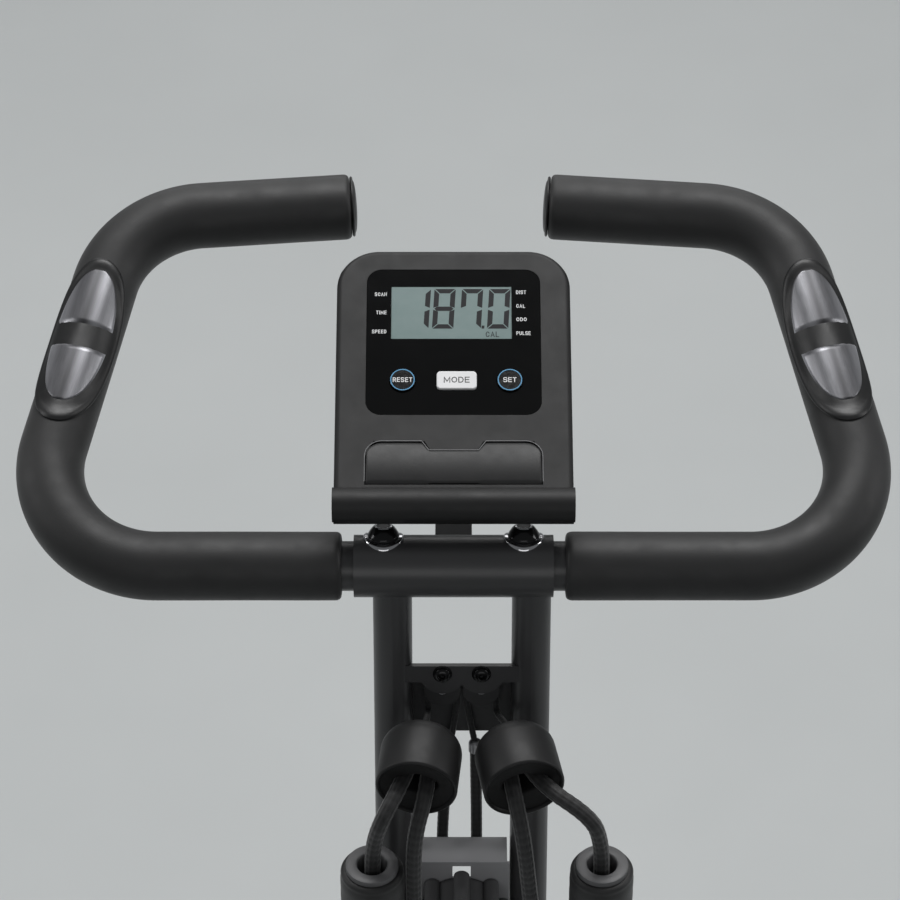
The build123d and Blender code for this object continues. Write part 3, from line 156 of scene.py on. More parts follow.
def surface(name, c1, c2, rough, grain, metal=0.0, spread=None, var=6.0, spec=0.5, coat=0.0, sheen=0.0,
            stretch=None, wear=None):
    """c1..c2: colour that drifts slowly; rough: (low, high); grain: list of (scale, strength, distance)."""
    k = Tree(name)
    slow = k.noise(var, 4.0, 0.6)
    col = k.mix(k.rng(slow, 0, 1), c1, c2)
    if wear:
        fine = k.noise(wear[0], 2.0, 0.6)
        x = k.n("ShaderNodeMix", data_type="RGBA")
        k.l(k.rng(fine, 0, 1, 0.62, 0.72), x.inputs[0])
        k.l(col, x.inputs[6])
        x.inputs[7].default_value = (*wear[1], 1)
        col = x.outputs[2]
    k.l(col, k.p.inputs["Base Color"])
    k.l(k.rng(k.noise(var * 7, 3.0, 0.6, stretch), rough[0], rough[1]), k.p.inputs["Roughness"])
    k.p.inputs["Metallic"].default_value = metal
    k.p.inputs["Specular IOR Level"].default_value = spec
    if coat:
        k.p.inputs["Coat Weight"].default_value = coat
        k.p.inputs["Coat Roughness"].default_value = 0.12
    if sheen:
        k.p.inputs["Sheen Weight"].default_value = sheen
        k.p.inputs["Sheen Roughness"].default_value = 0.5
    nrm = None
    for scale, strength, distance in grain:
        nrm = k.bump(k.noise(scale, 2.0, 0.5, stretch), strength, distance, nrm)
    if nrm is not None:
        k.l(nrm, k.p.inputs["Normal"])
    return k.m


def grey(v):
    return (v, v, v * 1.03)


FOAM = surface("foam", grey(0.0085), grey(0.012), (0.50, 0.62), [(2600, 0.25, 0.00025), (420, 0.05, 0.0004)],
               var=9, spec=0.55, sheen=0.12)
POWDER = surface("powder_coat", grey(0.052), grey(0.060), (0.30, 0.38), [(900, 0.10, 0.0003), (3200, 0.10, 0.0001)],
                 var=5, spec=0.5)
SHELL = surface("console_shell", grey(0.0075), grey(0.0095), (0.50, 0.58), [(3600, 0.35, 0.00012), (900, 0.05, 0.0002)],
                var=12, spec=0.42)
FLAP = surface("flap_plastic", grey(0.010), grey(0.0125), (0.46, 0.54), [(3600, 0.30, 0.00012)], var=14, spec=0.5)
GLOSS = surface("gloss_panel", grey(0.0024), grey(0.0028), (0.07, 0.09), [(2400, 0.01, 0.00004)], var=9, spec=0.35)
WHITE_KEY = surface("white_key", (0.80, 0.80, 0.81), (0.86, 0.86, 0.87), (0.28, 0.36), [(2400, 0.08, 0.0001)], var=60)
BLACK_KEY = surface("black_key", grey(0.003), grey(0.005), (0.14, 0.22), [(2400, 0.06, 0.0001)], var=60, spec=0.4)
BLUE_INK = surface("blue_ink", (0.055, 0.27, 0.50), (0.07, 0.32, 0.56), (0.34, 0.4), [(2600, 0.05, 0.0001)], var=80)
WHITE_INK = surface("white_ink", (0.78, 0.79, 0.80), (0.86, 0.86, 0.86), (0.38, 0.45), [(2600, 0.05, 0.0001)], var=90)
BLACK_INK = surface("black_ink", grey(0.012), grey(0.02), (0.4, 0.5), [(2600, 0.05, 0.0001)], var=90)
LCD = surface("lcd_ground", (0.175, 0.245, 0.240), (0.190, 0.262, 0.256), (0.20, 0.26), [(2200, 0.02, 0.0001)],
              var=40, spec=0.4)
LCD_DARK = surface("lcd_segment", (0.012, 0.012, 0.014), (0.016, 0.016, 0.018), (0.40, 0.46), [(2200, 0.02, 0.0001)],
                   var=40, spec=0.15)
PLASTIC = surface("moulded_black", grey(0.010), grey(0.014), (0.34, 0.46), [(1700, 0.18, 0.0002)], var=16, spec=0.5)
RUBBER = surface("rubber", grey(0.011), grey(0.017), (0.55, 0.70), [(1500, 0.25, 0.0003)], var=16, spec=0.4)
BELL = surface("bell_rubber", grey(0.011), grey(0.014), (0.46, 0.53), [(1800, 0.10, 0.0002)], var=22, spec=0.34)
BELL_FACE = surface("bell_face", grey(0.0065), grey(0.009), (0.60, 0.72), [(1500, 0.35, 0.0003)], var=22, spec=0.35)
RING = surface("handle_ring", grey(0.105), grey(0.13), (0.42, 0.52), [(2000, 0.12, 0.0002)], var=30, spec=0.5)
# knob bracket: the light grey colour is a painted reflection, standing in for the sheen on a dark gloss ledge
SHELF_PAINTED_REFLECTION = surface("shelf_painted_reflection", grey(0.40), grey(0.42), (0.27, 0.31), [(1400, 0.04, 0.0001)], var=6, spec=0.6)
KNOB = surface("knob_plastic", grey(0.062), grey(0.074), (0.40, 0.50), [(1600, 0.2, 0.0002)], var=18)
CHROME = surface("chrome", grey(0.62), grey(0.70), (0.10, 0.17), [(320, 0.02, 0.0002)], metal=1.0, var=20)
DARK_CHROME = surface("black_chrome", grey(0.020), grey(0.028), (0.14, 0.22), [(600, 0.03, 0.0002)], metal=0.75, var=24)
ZINC = surface("zinc", grey(0.42), grey(0.55), (0.28, 0.42), [(500, 0.08, 0.0002)], metal=1.0, var=28)
IRON = surface("cast_iron", grey(0.09), grey(0.14), (0.42, 0.6), [(260, 0.25, 0.0006), (1800, 0.2, 0.0002)], metal=0.8, var=24)
SHROUD = surface("shroud_gloss", grey(0.012), grey(0.016), (0.20, 0.30), [(420, 0.03, 0.0003), (2600, 0.06, 0.0001)],
                 var=5, coat=0.25)
WOOD = surface("seat_board", (0.16, 0.10, 0.055), (0.24, 0.155, 0.085), (0.5, 0.7), [(300, 0.3, 0.0004)], var=18,
               stretch=(1.0, 8.0, 8.0))
NYLON = surface("nylon", grey(0.03), grey(0.045), (0.35, 0.5), [(1500, 0.1, 0.0002)], var=22)


def brushed_with_painted_reflection(name, axis):
    """Brushed steel plate: very fine lines along one direction of the piece, over a painted reflection: bright rims and
    a dark middle streak painted into the colour across the plate.
    """
    k = Tree(name)
    co = k.coords()
    rot = k.n("ShaderNodeMapping")
    q = v3(0, 1, 0).rotation_difference(Vector(axis)).inverted().to_euler()
    rot.inputs["Rotation"].default_value = q
    k.l(co, rot.inputs["Vector"])
    sc = k.n("ShaderNodeMapping")
    sc.inputs["Scale"].default_value = (1.0, 0.03, 1.0)
    k.l(rot.outputs["Vector"], sc.inputs["Vector"])
    x = k.n("ShaderNodeTexNoise")
    x.inputs["Scale"].default_value = 3800
    x.inputs["Detail"].default_value = 2.0
    k.l(sc.outputs["Vector"], x.inputs["Vector"])
    at = k.n("ShaderNodeAttribute", attribute_name="painted_reflection_across")
    ramp = k.n("ShaderNodeValToRGB")
    cr = ramp.color_ramp
    cr.interpolation = "EASE"
    # painted reflection: grey levels across the plate, bright at both rims and dark in the middle, stand in for lights
    # mirrored in the steel
    painted_reflection_stops = [(0.0, 0.85), (0.13, 0.46), (0.30, 0.22), (0.50, 0.07), (0.66, 0.31), (0.84, 0.21), (1.0, 0.74)]
    cr.elements[0].position, cr.elements[0].color = painted_reflection_stops[0][0], (*grey(painted_reflection_stops[0][1]), 1)
    cr.elements[1].position, cr.elements[1].color = painted_reflection_stops[-1][0], (*grey(painted_reflection_stops[-1][1]), 1)
    for pos, val in painted_reflection_stops[1:-1]:
        cr.elements.new(pos).color = (*grey(val), 1)
    k.l(at.outputs["Fac"], ramp.inputs["Fac"])
    lines = k.n("ShaderNodeMix", data_type="RGBA", blend_type="MULTIPLY")
    lines.inputs[0].default_value = 1.0
    k.l(ramp.outputs["Color"], lines.inputs[6])
    k.l(k.mix(k.rng(x.outputs["Fac"], 0, 1, 0.35, 0.65), grey(0.86), grey(1.0)), lines.inputs[7])
    k.l(lines.outputs[2], k.p.inputs["Base Color"])
    k.l(k.rng(x.outputs["Fac"], 0.32, 0.38, 0.35, 0.65), k.p.inputs["Roughness"])
    k.p.inputs["Metallic"].default_value = 0.75
    k.l(k.bump(x.outputs["Fac"], 0.05, 0.00004), k.p.inputs["Normal"])
    return k.m


def braid_mat(name, dark, light, rough):
    k = Tree(name)
    a = k.n("ShaderNodeAttribute", attribute_name="strand_height_shade")
    # painted shade: the colour is dark down between the strands and light on their crowns, set by the strand height
    base = k.mix(k.rng(a.outputs["Fac"], 0, 1, 0.0, 1.0), dark, light)
    k.l(base, k.p.inputs["Base Color"])
    k.l(k.rng(k.noise(700, 3.0), rough[0], rough[1]), k.p.inputs["Roughness"])
    k.p.inputs["Sheen Weight"].default_value = 0.35
    k.p.inputs["Sheen Roughness"].default_value = 0.45
    k.l(k.bump(k.noise(5200, 2.0, 0.6), 0.35, 0.00015), k.p.inputs["Normal"])
    return k.m


CORD_MAT = braid_mat("cord_braid", grey(0.004), grey(0.020), (0.55, 0.7))
ROPE_MAT = braid_mat("rope_braid", grey(0.004), grey(0.014), (0.5, 0.65))


def leather():
    k = Tree("saddle_leather")
    co = k.coords()
    vor = k.n("ShaderNodeTexVoronoi", feature="DISTANCE_TO_EDGE")
    vor.inputs["Scale"].default_value = 620
    k.l(co, vor.inputs["Vector"])
    slow = k.noise(9, 4.0, 0.6)
    k.l(k.mix(k.rng(slow, 0, 1), grey(0.009), grey(0.015)), k.p.inputs["Base Color"])
    k.l(k.rng(k.noise(60, 4.0), 0.36, 0.52), k.p.inputs["Roughness"])
    b1 = k.bump(k.rng(vor.outputs["Distance"], 0, 1, 0.0, 0.25), 0.35, 0.0002)
    b2 = k.bump(k.noise(45, 4.0), 0.12, 0.0016, b1)
    k.l(b2, k.p.inputs["Normal"])
    k.p.inputs["Sheen Weight"].default_value = 0.08
    return k.m


LEATHER = leather()

for node, m in {
    "handlebar": POWDER, "clamp_head": POWDER, "mast_frame": POWDER, "console_bracket": POWDER,
    "console_back": SHELL, "console_front": SHELL, "console_window": GLOSS, "lcd_screen": LCD,
    "button_reset": BLACK_KEY, "button_set": BLACK_KEY, "button_mode": WHITE_KEY, "tablet_flap": FLAP,
    "rear_stabiliser": POWDER, "front_stabiliser": POWDER, "leg_frame": POWDER, "seat_post": POWDER,
    "rear_end_caps": RUBBER, "front_end_caps": RUBBER, "transport_wheels": PLASTIC,
    "pulley_left": NYLON, "pulley_right": NYLON, "knob_bracket": SHELF_PAINTED_REFLECTION, "resistance_knob": KNOB,
    "pivot_bolt": CHROME, "pivot_bushes": NYLON, "fold_pin": PLASTIC, "shroud_left": SHROUD, "shroud_right": SHROUD,
    "crank_axle": ZINC, "bearings": ZINC, "crank_pulley": NYLON, "drive_belt": RUBBER, "flywheel": IRON,
    "flywheel_axle": ZINC, "magnet_bracket": ZINC, "crank_arms": DARK_CHROME, "pedal_left": PLASTIC,
    "pedal_right": PLASTIC, "post_sleeve": PLASTIC, "seat_pin": PLASTIC, "saddle_base": WOOD,
    "foam_grip_left": FOAM, "foam_grip_right": FOAM, "pulse_housings": PLASTIC, "pulse_plates": CHROME,
    "horn_caps": PLASTIC, "clamp_bolts": CHROME, "pulley_bolts": CHROME, "stopper_left": BELL, "stopper_right": BELL,
    "pull_rope_left": ROPE_MAT, "pull_rope_right": ROPE_MAT, "rope_sleeves": ROPE_MAT, "handle_foam_left": FOAM,
    "handle_foam_right": FOAM, "handle_core_left": RING, "handle_core_right": RING, "handle_cord_left": CORD_MAT,
    "handle_cord_right": CORD_MAT, "saddle_cushion": LEATHER,
}.items():
    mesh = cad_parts[node].data
    mesh.materials.clear()
    mesh.materials.append(m)


# ------------------------------------------------------------------ mesh helpers
def piece(name, verts, faces, mat, body, smooth=True, replaces=()):
    me = bpy.data.meshes.new(name)
    me.from_pydata([tuple(v) for v in verts], [], faces)
    me.validate()
    me.update()
    if smooth:
        me.polygons.foreach_set("use_smooth", [True] * len(me.polygons))
    me.materials.append(mat)
    ob = bpy.data.objects.new(name, me)
    scene.collection.objects.link(ob)
    bm = bmesh.new()
    bm.from_mesh(me)
    bmesh.ops.recalc_face_normals(bm, faces=bm.faces)
    bm.to_mesh(me)
    bm.free()
    if body:
        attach(ob, body)
    if replaces:
        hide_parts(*replaces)
    return ob


def sharp(ob, degrees=38):
    ob.data.set_sharp_from_angle(angle=rad(degrees))
    return ob


def rings_to_faces(nr, ns, closed_ends=True, base=0):
    faces = []
    for i in range(nr - 1):
        for j in range(ns):
            a, b = base + i * ns + j, base + i * ns + (j + 1) % ns
            faces.append((a, b, b + ns, a + ns))
    if closed_ends:
        faces.append(tuple(base + j for j in range(ns))[::-1])
        faces.append(tuple(base + (nr - 1) * ns + j for j in range(ns)))
    return faces


def lathe_data(profile, origin, axis, seg=64, ends=True, base=0, side=None):
    """profile: (radius, height) pairs in millimetres along axis from origin."""
    axis = Vector(axis).normalized()
    x = Vector(side) if side else (UX if abs(axis.x) < 0.9 else v3(0, 1, 0))
    x = (x - axis * x.dot(axis)).normalized()
    y = axis.cross(x)
    verts = []
    for r, h in profile:
        for j in range(seg):
            a = 2 * math.pi * j / seg
            verts.append(Vector(origin) + axis * (h / 1000) + (x * math.cos(a) + y * math.sin(a)) * (max(r, 0.02) / 1000))
    return verts, rings_to_faces(len(profile), seg, ends, base)


def rounded(profile, r, steps=4):
    """Rounds each inner corner of an open (radius, height) profile by up to r millimetres."""
    out = [profile[0]]
    for a, b, c in zip(profile, profile[1:], profile[2:]):
        a, b, c = Vector(a), Vector(b), Vector(c)
        p, q = (a - b), (c - b)
        cut = min(r, p.length * 0.45, q.length * 0.45)
        p, q = b + p.normalized() * cut, b + q.normalized() * cut
        for i in range(steps + 1):
            t = i / steps
            w = p * (1 - t) ** 2 + b * 2 * t * (1 - t) + q * t * t
            out.append((w.x, w.y))
    out.append(profile[-1])
    return out


# ------------------------------------------------------------------ cords and ropes
def nurbs_line(points_mm, resolution=24):
    """The route's own NURBS spline, read back as the points that it passes through."""
    cu = bpy.data.curves.new("route", "CURVE")
    cu.dimensions = "3D"
    sp = cu.splines.new("NURBS")
    sp.points.add(len(points_mm) - 1)
    for p, c in zip(sp.points, points_mm):
        p.co = (c[0] / 1000, c[1] / 1000, c[2] / 1000, 1.0)
    sp.order_u = 3
    sp.use_endpoint_u = True
    cu.resolution_u = resolution
    ob = bpy.data.objects.new("route", cu)
    scene.collection.objects.link(ob)
    bpy.context.view_layer.update()
    me = bpy.data.meshes.new_from_object(ob)
    pts = [v.co.copy() for v in me.vertices]
    bpy.data.objects.remove(ob)
    bpy.data.curves.remove(cu)
    bpy.data.meshes.remove(me)
    return pts


def resample(pts, step):
    d = [0.0]
    for a, b in zip(pts, pts[1:]):
        d.append(d[-1] + (b - a).length)
    n = max(2, int(d[-1] / step))
    out, k = [], 0
    for i in range(n + 1):
        s = d[-1] * i / n
        while k < len(d) - 2 and d[k + 1] < s:
            k += 1
        t = (s - d[k]) / max(1e-9, d[k + 1] - d[k])
        out.append(pts[k].lerp(pts[k + 1], min(1, max(0, t))))
    return out, d[-1]


def frames(pts, start=None):
    """Turning-free side vectors along a line of points."""
    t = [(pts[min(i + 1, len(pts) - 1)] - pts[max(i - 1, 0)]).normalized() for i in range(len(pts))]
    x = Vector(start) if start else (UX if abs(t[0].x) < 0.8 else v3(0, 1, 0))
    x = (x - t[0] * x.dot(t[0])).normalized()
    out = [(t[0], x, t[0].cross(x))]
    for i in range(1, len(pts)):
        q = t[i - 1].rotation_difference(t[i])
        x = q @ x
        x = (x - t[i] * x.dot(t[i])).normalized()
        out.append((t[i], x, t[i].cross(x)))
    return out


def braided(name, pts, d_mm, mat, body, plaits, cell, depth, step, seg, replaces=(), fade=0.0):
    """A plaited cord as real geometry: two sets of strands that cross over and under."""
    line, length = resample(pts, step / 1000)
    fr = frames(line)
    verts, strand_height_shade = [], []
    s = 0.0
    for i, p in enumerate(line):
        if i:
            s += (p - line[i - 1]).length * 1000
        for j in range(seg):
            a = 2 * math.pi * j / seg
            u, v = plaits * a + math.pi * s / cell, plaits * a - math.pi * s / cell
            h = 0.5 + 0.5 * math.sin(u) * math.sin(v)
            h = h ** 0.6
            fib = 0.06 * math.sin(5 * u) * (1 if math.sin(v) > 0 else -1)
            r = d_mm / 2 - depth + depth * min(1, h + fib)
            verts.append(p + (fr[i][1] * math.cos(a) + fr[i][2] * math.sin(a)) * (r / 1000))
            # strand height, which sets the painted shade in the cord's material
            strand_height_shade.append(min(1.0, max(0.0, h + fib)))
    ob = piece(name, verts, rings_to_faces(len(line), seg), mat, None)
    at = ob.data.attributes.new("strand_height_shade", "FLOAT", "POINT")
    at.data.foreach_set("value", strand_height_shade)
    if body:
        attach(ob, body)
    if replaces:
        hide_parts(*replaces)
    return ob, length


# free cords of the two handles: out of the stopper, through the handle and back
CORD_LEFT = [(-26.5, 163.4, 1008.5), (-31.1, 147.1, 1010.1), (-40.0, 132.8, 1001.0), (-45.2, 136.3, 979.0),
             (-46.0, 136.8, 955.0), (-45.7, 136.8, 905.0), (-46.0, 136.8, 855.0), (-46.6, 136.8, 834.0),
             (-53.5, 130.8, 797.0), (-53.0, 119.3, 777.0), (-37.8, 109.8, 762.0), (-16.2, 109.8, 762.0),
             (-1.0, 119.3, 777.0), (-1.0, 130.8, 797.0), (-19.5, 137.8, 839.0), (-24.0, 137.8, 887.0),
             (-24.6, 136.8, 937.0), (-24.8, 135.8, 982.0), (-18.2, 143.7, 1006.1), (-16.6, 162.3, 1008.5)]
CORD_RIGHT = [(33.4, 164.1, 1007.8), (39.2, 148.2, 1009.9), (65.6, 132.8, 1001.0), (70.8, 136.3, 979.0),
              (71.6, 136.8, 955.0), (71.9, 136.8, 905.0), (71.6, 136.8, 855.0), (72.2, 136.8, 834.0),
              (79.1, 130.8, 797.0), (78.6, 119.3, 777.0), (63.4, 109.8, 762.0), (41.8, 109.8, 762.0),
              (26.6, 119.3, 777.0), (26.6, 130.8, 797.0), (40.5, 138.8, 839.0), (41.5, 137.8, 886.0),
              (35.5, 136.8, 933.0), (31.5, 134.8, 982.0), (26.4, 143.7, 1005.9), (23.6, 162.2, 1007.8)]
STEP = 0.6
for tag, route, side_body in (("left", CORD_LEFT, "pull_left"), ("right", CORD_RIGHT, "pull_right")):
    pts = nurbs_line(route)
    ob, length = braided("braided_cord_" + tag, pts, 8.4, CORD_MAT, side_body,
                         6, 4.6, 0.42, STEP, 72, ["handle_cord_" + tag])
    print("cord", tag, round(length, 4))
    [tuple(p) for p in resample(pts, 0.002)[0]]


# ------------------------------------------------------------------ pull ropes and sleeves
STOP_BACK = {-1: (-19.53, 212.6, 1010.15), 1: (25.0, 212.69, 1008.93)}
STOP_DIR = {-1: v3(-4.8, -44.0, -4.0).normalized(), 1: v3(8.5, -44.0, -2.7).normalized()}


def stop_pt(sign, along, up=0.0, side=0.0):
    x, y, z = STOP_BACK[sign]
    d = STOP_DIR[sign]
    s = v3(0, 0, 1).cross(d).normalized()
    w = d.cross(s)
    return v3(x / 1000, y / 1000 + YO, z / 1000) + d * (along / 1000) + w * (up / 1000) + s * (side / 1000)


def mm(p):
    return (p.x * 1000, p.y * 1000, p.z * 1000)


PX, PV, WV, RR = 10.0, -59.5, -72.0, 7.5
TOP = {-1: (-6.0, -108.0), 1: (7.2, -108.0)}
LOW = {-1: (-10.4, -158.0, -4.8), 1: (8.0, -158.0, -4.8)}
lo_s, hi_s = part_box("rope_sleeves")
for sign, tag in ((-1, "left"), (1, "right")):
    c = sign * PX
    body = "pull_" + tag
    # up from the sleeve, over the wheel in its groove, and down to the stopper's eyelet
    route = [mast(TOP[sign][0], TOP[sign][1] + 0.2, 0.5), mast(c - sign * (RR + 0.05), WV - 12, 0.5),
             mast(c - sign * RR, WV - 6.5, 0.5), mast(c - sign * RR, WV + RR, 0.5), mast(c + sign * RR, WV + RR, 0.5),
             mast(c + sign * RR, WV - 6.5, 0.5), mast(c + sign * (RR + 0.05), WV - 16, 0.5),
             stop_pt(sign, -9.0), stop_pt(sign, 0.5)]
    a, b = mast(c + sign * (RR + 0.05), WV - 11, 0.5), stop_pt(sign, -1.0)
    pts = nurbs_line([mm(p) for p in route])
    rope, _ = braided("pull_rope_" + tag + "_braid", pts, 3.4, ROPE_MAT, None,
                      5, 2.6, 0.16, 0.5, 30, ["pull_rope_" + tag])
    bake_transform(rope)

    # the thick elastic rope below, down to the anchor plate
    x0, x1 = TOP[sign][0], LOW[sign][0]
    bend = mast(x1 * 1.05, -262.7, LOW[sign][2])
    low = v3(x1 / 1000, 0, lo_s.z + 0.0016)
    legdir = v3(0, -math.cos(rad(60)), -math.sin(rad(60)))
    low.y = bend.y + legdir.y * (bend.z - low.z) / -legdir.z
    line = [mast(x0, TOP[sign][1] + 1.0, 0.5), mast((x0 + x1) / 2, (TOP[sign][1] + LOW[sign][1]) / 2, (0.5 + LOW[sign][2]) / 2),
            mast(x1, LOW[sign][1] - 6, LOW[sign][2]), mast(x1 * 1.04, -240.0, LOW[sign][2]), bend, low]
    path = nurbs_line([mm(p) for p in line])
    braided("elastic_rope_" + tag, path, 6.2, ROPE_MAT, "mast", 6, 3.6, 0.22, 1.0, 40, ["rope_sleeves"])
    # crimped clip where the thin rope goes into the thick one
    vv, ff = lathe_data(rounded([(1.9, 0), (3.7, 0.2), (3.7, 5.6), (3.2, 6.4), (1.9, 7.4)], 0.7), mast(x0, TOP[sign][1] - 4, 0.5), MU, 32)
    sharp(piece("rope_clip_" + tag, vv, ff, ZINC, "mast"))
    # eyelet at the back of the stopper
    vv, ff = lathe_data(rounded([(2.2, 0.3), (8.6, 0.3), (8.6, -1.3), (6.6, -1.9), (2.2, -1.6)], 0.5), stop_pt(sign, 0), STOP_DIR[sign], 48, False)
    sharp(piece("eyelet_" + tag, vv, ff, CHROME, body))

# ------------------------------------------------------------------ stoppers
for sign, tag in ((-1, "left"), (1, "right")):
    L_, R_ = 34.5, 20.9
    prof = [(3.0, 17.0), (3.0, 0.25), (R_ - 12.0, 0.0)]
    for i in range(1, 13):
        a = math.pi / 2 * i / 12
        prof.append((R_ - 12.0 + 12.0 * math.sin(a), 11.6 - 11.6 * math.cos(a)))
    prof += [(R_, 20.0), (R_, L_ - 1.2), (R_ - 0.25, L_ - 0.35), (R_ - 1.0, L_), (R_ - 1.7, L_ - 0.35), (R_ - 2.2, L_ - 1.6)]
    vv, ff = lathe_data(prof, stop_pt(sign, 0), STOP_DIR[sign], 96, False)
    sharp(piece("bell_" + tag, vv, ff, BELL, "pull_" + tag, replaces=["stopper_" + tag]), 50)
    # the filled face, dished a little, with a round mouth where the cord comes out
    face = [(R_ - 2.1, L_ - 1.7), (R_ - 6.0, L_ - 2.6), (12.0, L_ - 3.1), (9.6, L_ - 3.2), (8.8, L_ - 3.7), (8.3, L_ - 5.2), (8.1, L_ - 16.0)]
    n_s, verts, strand_height_shade = 96, [], []
    d = STOP_DIR[sign]
    sx = v3(0, 0, 1).cross(d).normalized()
    sy = d.cross(sx)
    for r, h in face:
        for j in range(n_s):
            a = 2 * math.pi * j / n_s
            rr = r
            cx = 0.0
            if r < 12.5:
                # the mouth is a slot, wide enough for both ends of the cord side by side
                w = (12.5 - r) / 4.4
                rr = r * (1.0 + 0.28 * w * abs(math.cos(a)) ** 2)
            verts.append(stop_pt(sign, h) + (sx * math.cos(a) * rr + sy * math.sin(a) * min(rr, r * 0.86 if r < 9.7 else r)) / 1000)
    sharp(piece("bell_face_" + tag, verts, rings_to_faces(len(face), n_s, False), BELL_FACE, "pull_" + tag), 50)

# ------------------------------------------------------------------ handles
for sign, tag in ((-1, "left"), (1, "right")):
    x, y = {-1: (-46.0, 168.0), 1: (71.6, 168.0)}[sign]
    top, length = 963.0, 122.0
    o = v3(x / 1000, y / 1000 + YO, top / 1000)
    prof = [(10.6, -3.3), (14.3, -3.3), (15.6, -3.9), (16.2, -5.2), (15.9, -6.6), (16.1, -7.8), (16.4, -9.5)]
    for i in range(1, 40):
        h = -9.5 - (length - 19.0) * i / 40
        prof.append((16.4 + 0.05 * math.sin(i * 1.7), h))
    prof += [(16.4, -length + 9.5), (16.1, -length + 7.8), (15.9, -length + 6.6), (16.2, -length + 5.2),
             (15.6, -length + 3.9), (14.3, -length + 3.3), (10.6, -length + 3.3)]
    vv, ff = lathe_data(prof, o, v3(0, 0, 1), 72, False)
    piece("foam_handle_" + tag, vv, ff, FOAM, "pull_" + tag, replaces=["handle_foam_" + tag])
    prof = [(7.5, -length), (12.4, -length), (13.3, -length + 0.3), (13.55, -length + 1.0), (13.55, -length + 3.0), (10.5, -length + 3.2),
            (10.5, -3.2), (13.55, -3.0), (13.55, -1.0), (13.3, -0.3), (12.4, 0.0), (8.4, 0.0), (7.9, -0.25), (7.6, -0.9), (7.5, -2.0), (7.5, -length)]
    vv, ff = lathe_data(prof, o, v3(0, 0, 1), 80, False)
    sharp(piece("handle_tube_" + tag, vv, ff, RING, "pull_" + tag, replaces=["handle_core_" + tag]), 40)

# ------------------------------------------------------------------ foam of the handlebar
HORN = {-1: 54.8, 1: 51.2}


def bar_path(points, radii, step=1.5):
    """The bent bar's middle line in its plane, from straight runs and the bender's arcs."""
    out = [Vector(points[0])]
    for (a, b, c), r in zip(zip(points, points[1:], points[2:]), radii):
        a, b, c = Vector(a), Vector(b), Vector(c)
        p, q = (a - b).normalized(), (c - b).normalized()
        half = p.angle(q) / 2
        cut = r / math.tan(half)
        centre = b + (p + q).normalized() * (r / math.sin(half))
        s, e = b + p * cut, b + q * cut
        u, w = (s - centre), (e - centre)
        turn = u.angle(w)
        n = max(4, int(r * turn / step))
        sg = 1 if u.cross(w) > 0 else -1
        for i in range(n + 1):
            t = sg * turn * i / n
            out.append(centre + Vector((u.x * math.cos(t) - u.y * math.sin(t), u.x * math.sin(t) + u.y * math.cos(t))))
    out.append(Vector(points[-1]))
    return out


def plane_line(points2, step=1.5):
    """Evenly spaced points of a plane line, with their run from its start."""
    out = []
    acc = 0.0
    for a, b in zip(points2, points2[1:]):
        d = (b - a).length
        if d < 1e-6:
            continue
        n = max(1, int(math.ceil(d / step)))
        for i in range(n):
            out.append((a.lerp(b, i / n), acc + d * i / n))
        acc += d
    out.append((points2[-1], acc))
    return out, acc


SIDE_LEN = math.hypot(46.6, 207.1)


class Bar:
    """Half of the bar, from the clamp out and round to the horn's tip; sign -1 is the rider's left."""

    def __init__(self, sign):
        self.sign = sign
        pts = bar_path([(56.8 * sign, 0.0), (222.2 * sign, 0.0), (175.6 * sign, 207.1), ((HORN[sign] + 0.4) * sign, 215.77)], [57.0, 55.0])
        self.pts, self.total = plane_line(pts, 1.5)
        self.s = [x[1] for x in self.pts]
        # run at which the side's straight starts, so that places along the side can be given from its lower corner
        corner = 222.2 - 56.8
        half = Vector((-1, 0)).angle(Vector((-46.6, 207.1))) / 2
        cut = 57.0 / math.tan(half)
        arc = 57.0 * (math.pi - 2 * half)
        self.side0 = corner - cut + arc - cut

    def at(self, s):
        s = min(max(s, 0.0), self.total)
        k = min(max(1, int(np.searchsorted(self.s, s))), len(self.s) - 1)
        a, b = self.pts[k - 1], self.pts[k]
        t = (s - a[1]) / max(1e-9, b[1] - a[1])
        p = a[0].lerp(b[0], t)
        k0, k1 = max(0, k - 2), min(len(self.pts) - 1, k + 1)
        d = (self.pts[k1][0] - self.pts[k0][0]).normalized()
        return p, d

    def point(self, s, theta, r):
        """theta in degrees from the plane's normal, positive to the outside of the loop."""
        p, d = self.at(s)
        out2 = Vector((d.y, -d.x)) if self.sign > 0 else Vector((-d.y, d.x))
        a = rad(theta)
        off = out2 * (math.sin(a) * r)
        return loop(p.x + off.x, p.y + off.y, math.cos(a) * r)


FR = 17.5
BARS = {-1: Bar(-1), 1: Bar(1)}
for sign, tag in ((-1, "left"), (1, "right")):
    bar = BARS[sign]
    seg = 72
    prof = [(0.0, 13.2), (0.0, 14.6), (0.25, 15.9), (0.9, 16.8), (2.0, 17.35), (3.4, 17.5)]
    ss = [(s, r) for s, r in prof]
    s = 5.0
    while s < bar.total - 5.0:
        ss.append((s, 17.5))
        s += 2.0
    ss += [(bar.total - s0, r) for s0, r in reversed(prof)]
    verts = []
    for s, r in ss:
        for j in range(seg):
            th = 360.0 * j / seg
            wob = 0.10 * noise.noise(v3(s * 0.022, math.cos(rad(th)) * 0.8 + 3 * sign, math.sin(rad(th)) * 0.8)) if r > 17.4 else 0
            verts.append(bar.point(s, th, r + wob))
    ob = piece("foam_" + tag, verts, rings_to_faces(len(ss), seg, False), FOAM, "mast",
               replaces=["foam_grip_" + tag])

# ------------------------------------------------------------------ pulse grips
S_MID, S_HALF, T_HALF = 126.6, 49.8, 76.0
LINES = {sign: (BARS[sign].point(BARS[sign].side0 + 150, 0, 0) - BARS[sign].point(BARS[sign].side0 + 100, 0, 0)).normalized()
         for sign in (-1, 1)}
STEEL = {sign: brushed_with_painted_reflection("brushed_plate_painted_reflection_" + ("left" if sign < 0 else "right"), LINES[sign]) for sign in (-1, 1)}


